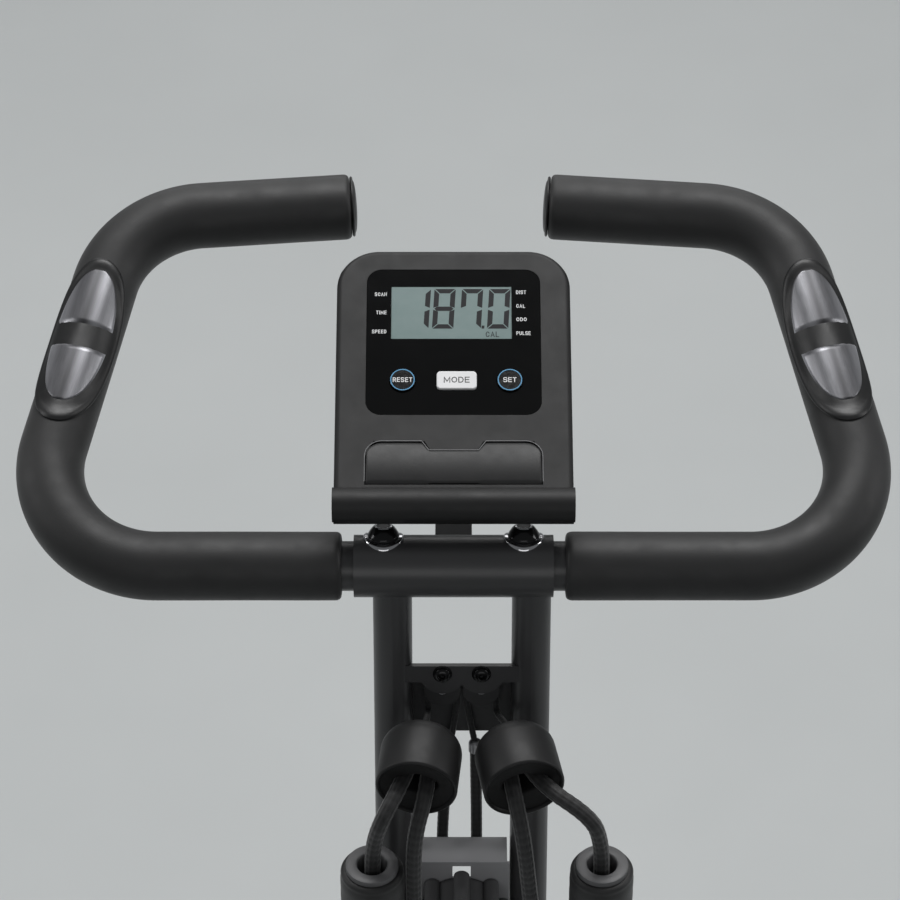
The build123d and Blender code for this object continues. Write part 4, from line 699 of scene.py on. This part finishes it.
def leaf_patch(name, sign, s_mid, s_half, t_half, levels, mat, replaces=(), nr=72, exponent=2.0, clip=None, smooth=45):
    """A leaf-shaped plate wrapped on the bar. levels: (share of the outline, height over the bar's middle line)."""
    bar = BARS[sign]
    verts, faces = [], []
    for share, r in levels:
        for j in range(nr):
            a = 2 * math.pi * j / nr
            ca, sa = math.cos(a), math.sin(a)
            k = 1.0 / (abs(ca) ** exponent + abs(sa) ** exponent) ** (1.0 / exponent)
            s = s_mid + (s_half - (0 if share >= 1 else 0)) * share * k * ca
            t = 2.0 + t_half * share * k * sa
            if clip is not None:
                s = clip(s, t)
            verts.append(bar.point(bar.side0 + s, t, r))
    n = len(levels)
    faces = rings_to_faces(n, nr, False)
    verts.append(bar.point(bar.side0 + (s_mid if clip is None else clip(s_mid, 2.0)), 2.0, levels[-1][1]))
    c = len(verts) - 1
    for j in range(nr):
        faces.append(((n - 1) * nr + j, (n - 1) * nr + (j + 1) % nr, c))
    return sharp(piece(name, verts, faces, mat, "mast", replaces=replaces), smooth)


def plate(name, sign, upper):
    """One steel plate: a part of the inner leaf on one side of the band, as a grid that follows the tube."""
    bar = BARS[sign]
    smid, shalf, thalf = 129.0, 40.3, 55.0
    rows, cols = 34, 30
    verts, faces, painted_reflection_across = [], [], []
    r_top = 18.75

    def edge(t):
        # the band between the two plates is bowed a little, and follows the tube round
        w = (t - 2.0) / thalf
        return (135.2 + 1.3 * w * w) if upper else (122.3 + 1.6 * w * w)

    def outline(s):
        x = (s - smid) / shalf
        return thalf * math.sqrt(max(0.0, 1 - x * x))

    s0 = 135.2 if upper else 122.3
    s1 = smid + shalf if upper else smid - shalf
    for i in range(rows + 1):
        f = i / rows
        f = 1 - (1 - f) ** 1.6
        for j in range(cols + 1):
            w = -1 + 2 * j / cols
            s = s0 + (s1 - s0) * f
            th = outline(s) * w
            s_ = s + (edge(2 + th) - s0) * (1 - f)
            # the plate's rim turns down into the housing
            d_edge = min((1 - abs(w)) * max(outline(s), 0.5) * 0.33, f * abs(s1 - s0), (1 - f) * abs(s1 - s0) * 1.2)
            drop = 0.75 * max(0.0, 1 - d_edge / 1.3) ** 2
            dome = 0.35 * (1 - w * w) * math.sin(math.pi * min(1.0, f * 0.9 + 0.1))
            verts.append(bar.point(bar.side0 + s_, 2 + th, r_top - drop + dome))
            # the place across the plate, which drives the painted reflection in its material
            painted_reflection_across.append(min(1.0, max(0.0, 0.5 - 0.5 * th / thalf)))
    for i in range(rows):
        for j in range(cols):
            a = i * (cols + 1) + j
            faces.append((a, a + 1, a + cols + 2, a + cols + 1))
    n = len(verts)
    rim = [j for j in range(cols + 1)] + [i * (cols + 1) + cols for i in range(1, rows + 1)] + \
          [rows * (cols + 1) + j for j in range(cols - 1, -1, -1)] + [i * (cols + 1) for i in range(rows - 1, 0, -1)]
    axis_pts = []
    for k in rim:
        p = verts[k]
        q = p + (bar.point(bar.side0 + 129, 2, 0) - bar.point(bar.side0 + 129, 2, 1)).normalized() * 0.0012
        axis_pts.append(q)
        painted_reflection_across.append(painted_reflection_across[k])
    verts += axis_pts
    for k in range(len(rim)):
        a, b = rim[k], rim[(k + 1) % len(rim)]
        faces.append((a, b, n + (k + 1) % len(rim), n + k))
    ob = sharp(piece(name, verts, faces, STEEL[sign], "mast"), 40)
    ob.data.attributes.new("painted_reflection_across", "FLOAT", "POINT").data.foreach_set("value", painted_reflection_across)
    return ob


for sign, tag in ((-1, "left"), (1, "right")):
    rep = ["pulse_housings"] if sign < 0 else []
    base = [(1.0, 17.3), (0.995, 18.3), (0.975, 18.85), (0.95, 19.0), (0.92, 18.95), (0.885, 18.6), (0.86, 18.35),
            (0.80, 18.3), (0.6, 18.3), (0.4, 18.3), (0.2, 18.3)]
    leaf_patch("pulse_housing_" + tag, sign, S_MID, S_HALF, T_HALF, base, PLASTIC, rep, nr=144)
    for upper in (True, False):
        p = plate("pulse_plate_%s_%s" % ("upper" if upper else "lower", tag), sign, upper)
        if sign < 0 and upper:
            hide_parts("pulse_plates")

# ------------------------------------------------------------------ domed plugs of the horns
for sign, tag in ((-1, "left"), (1, "right")):
    bar = BARS[sign]
    p, d = bar.at(bar.total)
    ax = (UX * d.x + LU * d.y).normalized()
    o = bar.point(bar.total, 0, 0)
    prof = [(11.0, -6.0), (11.2, 0.2), (15.2, 0.2), (15.9, 0.45), (16.2, 0.9), (16.1, 1.4), (15.5, 1.75), (14.4, 1.85), (14.0, 1.95)]
    for i in range(1, 11):
        a = rad(90) * i / 10
        prof.append((13.8 * math.cos(a), 1.95 + 1.45 * math.sin(a)))
    vv, ff = lathe_data(prof, o, ax, 72)
    sharp(piece("horn_plug_" + tag, vv, ff, PLASTIC, "mast", replaces=["horn_caps"] if sign < 0 else ()), 40)

# ------------------------------------------------------------------ clamp bolts
BD = v3(0, math.cos(rad(72.0)), math.sin(rad(72.0)))
BW = BD.cross(UX)
for sign, tag in ((-1, "left"), (1, "right")):
    o = loop(sign * 35.5, 0, 0)
    # saddle washer: bent to the clamp, so that its height follows the tube under it
    seg, verts = 96, []
    prof = [(6.6, 17.25), (9.2, 17.3), (9.8, 17.15), (10.15, 16.8), (10.2, 16.4), (9.9, 16.0), (9.0, 15.95)]
    for r, h in prof:
        for j in range(seg):
            a = 2 * math.pi * j / seg
            w = math.sin(a) * r
            verts.append(o + UX * (math.cos(a) * r / 1000) + BW * (w / 1000) + BD * (math.sqrt(h * h - w * w) / 1000))
    sharp(piece("saddle_washer_" + tag, verts, rings_to_faces(len(prof), seg, False), CHROME, "mast"), 40)
    prof = [(7.2, 15.9), (8.1, 16.5), (8.15, 17.2), (7.9, 18.0), (7.0, 19.6), (5.8, 21.2), (5.0, 21.95), (4.4, 22.3), (3.6, 22.3)]
    vv, ff = lathe_data(rounded(prof, 0.5), o, BD, 72, False)
    sharp(piece("clamp_dome_" + tag, vv, ff, DARK_CHROME, "mast", replaces=["clamp_bolts"] if sign < 0 else ()), 50)
    prof = [(4.5, 22.1), (4.5, 22.5), (4.1, 22.75), (3.7, 22.7), (3.45, 22.35)]
    vv, ff = lathe_data(prof, o, BD, 48, False)
    sharp(piece("clamp_socket_ring_" + tag, vv, ff, CHROME, "mast"), 50)
    vv, ff = lathe_data([(3.5, 22.5), (3.2, 19.9), (0.1, 19.5)], o, BD, 6, True)
    sharp(piece("clamp_socket_" + tag, vv, ff, DARK_CHROME, "mast", smooth=False), 30)

# ------------------------------------------------------------------ button bolts of the rope pulleys
for sign, tag in ((-1, "left"), (1, "right")):
    o = mast(sign * PX, PV, 8.0)
    prof = [(1.9, 0.0), (4.9, 0.05), (4.95, 0.5), (4.3, 0.62), (4.2, 0.9)]
    for i in range(1, 9):
        a = rad(90) * i / 8
        prof.append((1.5 + 2.7 * math.cos(a), 0.9 + 2.2 * math.sin(a)))
    prof += [(1.45, 2.7), (1.3, 1.4), (0.1, 1.2)]
    vv, ff = lathe_data(prof, o, MN, 48)
    sharp(piece("button_bolt_" + tag, vv, ff, DARK_CHROME, "mast"), 45)
    o = mast(sign * PX, WV, 8.0)
    vv, ff = lathe_data([(1.0, -3.35), (2.3, -3.35), (2.45, -3.6), (2.45, -19.0)], o, MN, 32, False)
    sharp(piece("wheel_pin_" + tag, vv, ff, ZINC, "mast"), 45)
    vv, ff = lathe_data([(2.6, -19.8), (4.9, -19.6), (4.9, -16.6), (4.4, -16.2), (2.6, -16.2)], o, MN, 6, True)
    sharp(piece("button_nut_" + tag, vv, ff, ZINC, "mast", smooth=False,
                replaces=["pulley_bolts"] if sign < 0 else ()), 30)

# ------------------------------------------------------------------ console face: rings, generic function words, display
FACE_N = 35.0


def flat_poly(name, outlines, n0, height, mat, body):
    """Thin raised shapes on the console's face. outlines: closed lists of (u, v) in millimetres."""
    verts, faces = [], []
    for pts in outlines:
        k, b = len(pts), len(verts)
        verts += [loop(u, v, n0 + height) for u, v in pts] + [loop(u, v, n0) for u, v in pts]
        faces.append(tuple(range(b, b + k)))
        for i in range(k):
            faces.append((b + i, b + k + i, b + k + (i + 1) % k, b + (i + 1) % k))
    return piece(name, verts, faces, mat, body, smooth=False)


def words(name, entries, mat, body, n0, height=0.12, bold=0.155):
    """Plain stroke letters. entries: (text, u, v, cap height, align, whole width) set in the console's plane."""
    verts, faces = [], []
    for text, u, v, cap, align, width in entries:
        gap = 0.16 * cap
        unit = (width - gap * (len(text) - 1)) / sum(LETTERS[c][0] for c in text)
        x = u - {"LEFT": 0, "RIGHT": width, "CENTER": width / 2}[align]
        h = bold * cap / 2
        for c in text:
            rel, strokes = LETTERS[c]
            w = rel * unit
            for st in strokes:
                pts = [Vector((x + h + (w - 2 * h) * p[0] if rel > 0.3 else x + w / 2, v - cap / 2 + h + (cap - 2 * h) * p[1])) for p in st]
                shut = (pts[0] - pts[-1]).length < 1e-6
                if shut:
                    pts = pts[:-1]
                n, base = len(pts), len(verts)
                for i, q in enumerate(pts):
                    a = pts[(i - 1) % n] if shut or i else None
                    b = pts[(i + 1) % n] if shut or i < n - 1 else None
                    d1 = (q - a).normalized() if a is not None else (b - q).normalized()
                    d2 = (b - q).normalized() if b is not None else d1
                    m = Vector((-d1.y - d2.y, d1.x + d2.x)).normalized()
                    k = h / max(0.45, m.dot(Vector((-d1.y, d1.x))))
                    cap_end = Vector((0, 0))
                    if a is None:
                        cap_end = -d1 * h * 0.98
                    elif b is None:
                        cap_end = d1 * h * 0.98
                    for side in (1, -1):
                        e = q + m * (k * side) + cap_end
                        verts.append(loop(e.x, e.y, n0 + height))
                for i in range(n if shut else n - 1):
                    p0, p1 = base + 2 * i, base + 2 * ((i + 1) % n)
                    faces.append((p0, p0 + 1, p1 + 1, p1))
            x += w + gap
    ob = piece(name, verts, faces, mat, None, smooth=False)
    bm = bmesh.new()
    bm.from_mesh(ob.data)
    for f in bm.faces:
        if f.normal.dot(LN) < 0:
            f.normal_flip()
    bm.to_mesh(ob.data)
    bm.free()
    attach(ob, body)
    return ob


LETTERS = {
    "S": (1, [[(1, .84), (.84, 1), (.16, 1), (0, .86), (0, .66), (.16, .53), (.84, .47), (1, .34), (1, .14), (.84, 0), (.16, 0), (0, .16)]]),
    "C": (1, [[(.97, .74), (.83, .93), (.53, 1), (.22, .92), (.03, .66), (.03, .34), (.22, .08), (.53, 0), (.83, .07), (.98, .27)]]),
    "A": (1.05, [[(0, 0), (.5, 1), (1, 0)], [(.2, .33), (.8, .33)]]),
    "N": (1, [[(0, 0), (0, 1), (1, 0), (1, 1)]]),
    "T": (0.95, [[(0, 1), (1, 1)], [(.5, .95), (.5, 0)]]),
    "I": (0.25, [[(0, 0), (0, 1)]]),
    "M": (1.2, [[(0, 0), (0, 1), (.5, .18), (1, 1), (1, 0)]]),
    "E": (0.9, [[(1, 1), (0, 1), (0, 0), (1, 0)], [(.05, .52), (.9, .52)]]),
    "P": (0.92, [[(0, 0), (0, 1), (.68, 1), (.93, .89), (.93, .59), (.68, .48), (.05, .48)]]),
    "D": (1, [[(0, 0), (0, 1), (.52, 1), (.86, .86), (1, .5), (.86, .14), (.52, 0), (0, 0)]]),
    "L": (0.85, [[(0, 1), (0, 0), (1, 0)]]),
    "O": (1.1, [[(.5, 1), (.85, .88), (1, .5), (.85, .12), (.5, 0), (.15, .12), (0, .5), (.15, .88), (.5, 1)]]),
    "U": (1, [[(0, 1), (0, .32), (.15, .07), (.5, 0), (.85, .07), (1, .32), (1, 1)]]),
    "R": (0.97, [[(0, 0), (0, 1), (.66, 1), (.92, .89), (.92, .60), (.66, .49), (.05, .49)], [(.5, .47), (1, 0)]]),
}
W = FACE_N - 0.2
words("console_words", [("SCAN", -34.6, 140.0, 2.2, "RIGHT", 6.2), ("TIME", -34.6, 129.0, 2.2, "RIGHT", 5.4),
                        ("SPEED", -34.6, 117.6, 2.2, "RIGHT", 7.4), ("DIST", 32.4, 141.2, 2.2, "LEFT", 5.2),
                        ("CAL", 32.4, 132.9, 2.2, "LEFT", 4.6), ("ODO", 32.4, 124.9, 2.2, "LEFT", 5.4),
                        ("PULSE", 32.4, 116.6, 2.2, "LEFT", 7.3)], WHITE_INK, "mast", W, 0.06)
words("reset_word", [("RESET", -26.1, 88.4, 2.7, "CENTER", 10.0)], WHITE_INK, "reset_key", FACE_N + 1.0, 0.06)
words("set_word", [("SET", 28.8, 88.4, 2.8, "CENTER", 6.8)], WHITE_INK, "set_key", FACE_N + 1.0, 0.06)
words("mode_word", [("MODE", 1.6, 88.4, 3.4, "CENTER", 13.2)], BLACK_INK, "mode_key", FACE_N + 1.0, 0.06, 0.14)

for u, body, nm in ((-26.1, "reset_key", "reset_ring"), (28.8, "set_key", "set_ring")):
    seg, verts, faces = 96, [], []
    ring = [(6.25, 1.0), (6.25, 1.12), (5.72, 1.12), (5.72, 1.0)]
    for r, h in ring:
        for j in range(seg):
            a = 2 * math.pi * j / seg
            verts.append(loop(u + r * math.cos(a), 88.4 + r * math.sin(a), FACE_N + h))
    faces = rings_to_faces(4, seg, False)
    piece(nm, verts, faces, BLUE_INK, body, smooth=False)

# display segments
SEG_W, GAP = 2.6, 0.35


def digit(u0, v0, w, h, on, slant=0.055):
    """Outlines of the lit segments of one seven-segment figure, its lower left corner at (u0, v0)."""
    t, g = SEG_W, GAP
    m = h / 2

    def sl(p):
        return (u0 + p[0] + slant * p[1], v0 + p[1])

    def hor(y, lo, hi, kind):
        if kind == "top":
            return [(lo, y), (hi, y), (hi - t, y - t), (lo + t, y - t)]
        if kind == "bot":
            return [(lo + t, y + t), (hi - t, y + t), (hi, y), (lo, y)]
        return [(lo + 0.2, y), (lo + t * .55, y + t * .5), (hi - t * .55, y + t * .5), (hi - 0.2, y), (hi - t * .55, y - t * .5), (lo + t * .55, y - t * .5)]

    def ver(x, lo, hi, left):
        if left:
            return [(x, lo), (x, hi), (x + t, hi - t * .95), (x + t, lo + t * .55)]
        return [(x - t, lo + t * .55), (x - t, hi - t * .95), (x, hi), (x, lo)]

    segs = {
        "a": hor(h, g, w - g, "top"), "g": hor(m, g, w - g, "mid"), "d": hor(0, g, w - g, "bot"),
        "f": [(0, m + g * 1.6), (0, h - g), (t, h - t - g), (t, m + t * .5 + g)],
        "e": [(0, g), (0, m - g * 1.6), (t, m - t * .5 - g), (t, t + g)],
        "b": [(w - t, m + t * .5 + g), (w - t, h - t - g), (w, h - g), (w, m + g * 1.6)],
        "c": [(w - t, t + g), (w - t, m - t * .5 - g), (w, m - g * 1.6), (w, g)],
    }
    return [[sl(p) for p in segs[k]] for k in on]


v_lo, v_hi = 119.6, 143.4
H = v_hi - v_lo
px = 0.5157


def uu(x):
    return -32.3 + (x - 391) * px


wd = 21.4 * px
shapes = []
shapes += digit(uu(428.5) - wd, v_lo, wd, H, "bc")
shapes += digit(uu(432.0), v_lo, wd, H, "abcdefg")
shapes += digit(uu(459.6), v_lo, wd, H, "abcf")
shapes += digit(uu(487.0), v_lo, wd, H, "abcdef")
shapes.append([(uu(481.6), v_lo), (uu(484.4), v_lo), (uu(484.6), v_lo + 1.8), (uu(481.8), v_lo + 1.8)])
LCD_TOP_N = FACE_N - 0.6
flat_poly("display_figures", shapes, LCD_TOP_N - 0.02, 0.05, LCD_DARK, "mast")
words("display_unit", [("CAL", uu(492.4), 116.2, 3.3, "CENTER", 6.9)], LCD_DARK, "mast", LCD_TOP_N, 0.03, 0.13)

# ------------------------------------------------------------------ the flap: a shallow roll with a finger notch
def flap_top(u, grow=0.0):
    """Height of the flap's upper edge at u: round corners and a notch in the middle."""
    a, half, r = abs(u), 44.4 + grow, 8.5
    if -16.0 < u < 16.2:
        k = (16.0 + u) / 3.6 if u < 0 else (16.2 - u) / 3.6
        return 52.6 + grow - 5.2 * min(1.0, max(0.0, k))
    if a > half - r:
        return 52.6 + grow - r + math.sqrt(max(0.0, r * r - (a - (half - r)) ** 2))
    return 52.6 + grow


us = [-44.4 + 8.5 * (1 - math.cos(math.pi / 2 * i / 10)) for i in range(11)]
us += [-35.9 + (19.9) * i / 6 for i in range(1, 7)] + [-15.4, -14.2, -13.0, -12.4, -11.8]
us += [-11.0 + 22.2 * i / 8 for i in range(9)] + [12.0, 12.6, 13.2, 14.4, 15.6]
us += [16.2 + 19.7 * i / 6 for i in range(7)] + [35.9 + 8.5 * math.sin(math.pi / 2 * i / 10) for i in range(1, 11)]
rows, verts, faces = 22, [], []
for u in us:
    top = flap_top(u)
    for i in range(rows + 1):
        v = 28.8 + (top - 28.8) * i / rows
        x = (v - 40.4) / 13.0
        d = min(v - 28.8, top - v, 44.4 - abs(u))
        soft = 0.5 * max(0.0, 1 - max(0.0, d) / 0.8) ** 2
        verts.append(loop(u, v, 34.75 + 1.9 * (1 - x * x) - soft))
k = len(verts)
for u in us:
    top = flap_top(u)
    for i in range(rows + 1):
        verts.append(loop(u, 28.8 + (top - 28.8) * i / rows, 32.7))
m = rows + 1
for i in range(len(us) - 1):
    for j in range(rows):
        a = i * m + j
        faces += [(a, a + m, a + m + 1, a + 1), (k + a, k + a + 1, k + a + m + 1, k + a + m)]
    a = i * m
    faces += [(a, k + a, k + a + m, a + m), (a + rows, a + rows + m, k + a + rows + m, k + a + rows)]
for j in range(rows):
    a, b = j, (len(us) - 1) * m + j
    faces += [(a, a + 1, k + a + 1, k + a), (b, k + b, k + b + 1, b + 1)]
sharp(piece("flap_roll", verts, faces, FLAP, "flap", replaces=["tablet_flap"]), 50)
# a thin lip round the flap's upper edge, on the console, in light grey: a painted highlight along the edge
EDGE = surface("lip_painted_highlight", grey(0.16), grey(0.18), (0.40, 0.48), [(3600, 0.2, 0.0001)], var=40)
line = [(-45.0, 30.0), (-45.0, 38.0)] + [(u * 45.0 / 44.4, flap_top(u) + 0.6) for u in us] + [(45.0, 38.0), (45.0, 30.0)]
verts, faces = [], []
for (u, v), (u2, v2), (u0, v0) in zip(line, line[1:] + line[-1:], line[:1] + line[:-1]):
    t = Vector((u2 - u0, v2 - v0)).normalized()
    w = Vector((-t.y, t.x))
    for a, h in ((-0.12, 34.95), (-0.10, 35.22), (0.26, 35.22), (0.30, 34.95)):
        verts.append(loop(u + w.x * a, v + w.y * a, h))
sharp(piece("flap_lip_painted_highlight", verts, rings_to_faces(len(line), 4), EDGE, "mast"), 60)

# ------------------------------------------------------------------ saddle
lo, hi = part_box("saddle_cushion")
mid = (lo + hi) / 2


def saddle():
    """A padded three-cornered seat: an outline that is wide behind and narrow in front, filled and crowned."""
    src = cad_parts["saddle_cushion"]
    me = src.data.copy()
    ob = bpy.data.objects.new("saddle_pad", me)
    scene.collection.objects.link(ob)
    c = mid.copy()
    for v in me.vertices:
        # a slightly smaller shape to swell from
        v.co = Vector((c.x + (v.co.x - c.x) * 0.955, c.y + (v.co.y - c.y) * 0.955, lo.z + (v.co.z - lo.z) * 0.86))
    me.update()
    rm = ob.modifiers.new("remesh", "REMESH")
    rm.mode = "VOXEL"
    rm.voxel_size = 0.0055
    bpy.context.view_layer.update()
    dg = bpy.context.evaluated_depsgraph_get()
    me2 = bpy.data.meshes.new_from_object(ob.evaluated_get(dg))
    ob.modifiers.clear()
    ob.data = me2
    start = np.array([v.co for v in me2.vertices])
    flat = ob.vertex_groups.new(name="pin")
    flat.add([v.index for v in me2.vertices if v.co.z < lo.z + 0.006], 1.0, "REPLACE")
    cl = ob.modifiers.new("cloth", "CLOTH")
    cl.settings.use_pressure = True
    cl.settings.uniform_pressure_force = 4.0
    cl.settings.effector_weights.gravity = 0.0
    cl.settings.vertex_group_mass = "pin"
    cl.settings.quality = 5
    cl.settings.mass = 0.3
    cl.settings.tension_stiffness = 22
    cl.settings.compression_stiffness = 22
    cl.collision_settings.use_collision = False
    cl.point_cache.frame_start = 1
    cl.point_cache.frame_end = 20
    for f in range(1, 21):
        scene.frame_set(f)
    dg = bpy.context.evaluated_depsgraph_get()
    me3 = bpy.data.meshes.new_from_object(ob.evaluated_get(dg))
    ob.modifiers.clear()
    ob.data = me3
    scene.frame_set(1)
    me = ob.data
    end = np.array([v.co for v in me.vertices])
    move = end - start
    dist = np.linalg.norm(move, axis=1)
    # the padding is stiff, so the swelling is evened out over its neighbours
    ed = np.array([e.vertices[:] for e in me.edges])
    count = np.bincount(ed.ravel(), minlength=len(end)).astype(float)[:, None]
    for _ in range(40):
        near = np.zeros_like(move)
        np.add.at(near, ed[:, 0], move[ed[:, 1]])
        np.add.at(near, ed[:, 1], move[ed[:, 0]])
        move = 0.4 * move + 0.6 * near / np.maximum(count, 1)
    dist = np.linalg.norm(move, axis=1)
    cap = 0.012
    k = np.where(dist > cap, cap / np.maximum(dist, 1e-9), 1.0)
    end = start + move * k[:, None]
    # crown, the sides drawn in at the piping, and the channel down the middle
    cx, cy = mid.x, mid.y
    for i, v in enumerate(me.vertices):
        x, y, z = end[i]
        f = (z - lo.z) / (hi.z - lo.z)
        x = cx + (x - cx) * (1 - 0.03 * math.cos(f * math.pi) ** 2)
        if f > 0.5:
            edge = min(1.0, math.hypot((x - cx) / (hi.x - lo.x) * 2, (y - cy) / (hi.y - lo.y) * 2))
            z += 0.004 * (1 - edge ** 2)
            front = min(1, max(0, (y - lo.y) / (hi.y - lo.y)))
            z -= 0.0035 * math.exp(-((x - cx) / 0.011) ** 2) * min(1, front * 2.2)
        # a seam sunk between the top panel and the side band
        z0 = lo.z + 0.70 * (hi.z - lo.z)
        g = math.exp(-((z - z0) / 0.0022) ** 2) * 0.0016
        r = math.hypot(x - cx, y - cy)
        if r > 0.05:
            x -= (x - cx) / r * g
            y -= (y - cy) / r * g
        v.co = (min(max(x, lo.x), hi.x), min(max(y, lo.y), hi.y), min(max(z, lo.z + 0.0002), hi.z + 0.006))
    me.materials.clear()
    me.materials.append(LEATHER)
    me.polygons.foreach_set("use_smooth", [True] * len(me.polygons))
    sub = ob.modifiers.new("sub", "SUBSURF")
    sub.levels = sub.render_levels = 1
    return ob


pad = saddle()
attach(pad, "seat")
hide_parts("saddle_cushion")

# ------------------------------------------------------------------ floor and light
fm = surface("floor_paint", (0.56, 0.58, 0.58), (0.60, 0.62, 0.62), (0.55, 0.7), [(60, 0.03, 0.001)], var=1.5)
bm = bmesh.new()
bmesh.ops.create_grid(bm, x_segments=40, y_segments=40, size=14.0)
me = bpy.data.meshes.new("floor")
bm.to_mesh(me)
bm.free()
me.materials.append(fm)
floor = bpy.data.objects.new("floor", me)
scene.collection.objects.link(floor)
floor.location = (0, 0, -0.0005)


def area(name, loc, target, size, power, colour=(1, 1, 1)):
    d = bpy.data.lights.new(name, "AREA")
    d.shape = "RECTANGLE"
    d.size, d.size_y = size
    d.energy = power
    d.color = colour
    o = bpy.data.objects.new(name, d)
    scene.collection.objects.link(o)
    o.location = loc
    o.rotation_euler = (Vector(target) - Vector(loc)).to_track_quat("-Z", "Y").to_euler()
    return o


aim = (0, 0.2, 0.95)
area("key_top", (0.1, 1.6, 4.0), aim, (2.6, 1.0), 78)
area("strip_left", (-3.0, 0.5, 2.4), aim, (0.5, 2.6), 21)
area("strip_right", (3.0, 0.4, 2.4), aim, (0.5, 2.6), 21)
area("fill_front", (0.0, -3.2, 2.2), aim, (3.0, 1.6), 14)
area("back", (0.0, 3.4, 2.2), aim, (3.0, 1.2), 16)
world = bpy.data.worlds.new("world")
scene.world = world
world.use_nodes = True
world.node_tree.nodes["Background"].inputs["Color"].default_value = (0.80, 0.83, 0.85, 1)
world.node_tree.nodes["Background"].inputs["Strength"].default_value = 0.17
scene.view_settings.view_transform = "Standard"
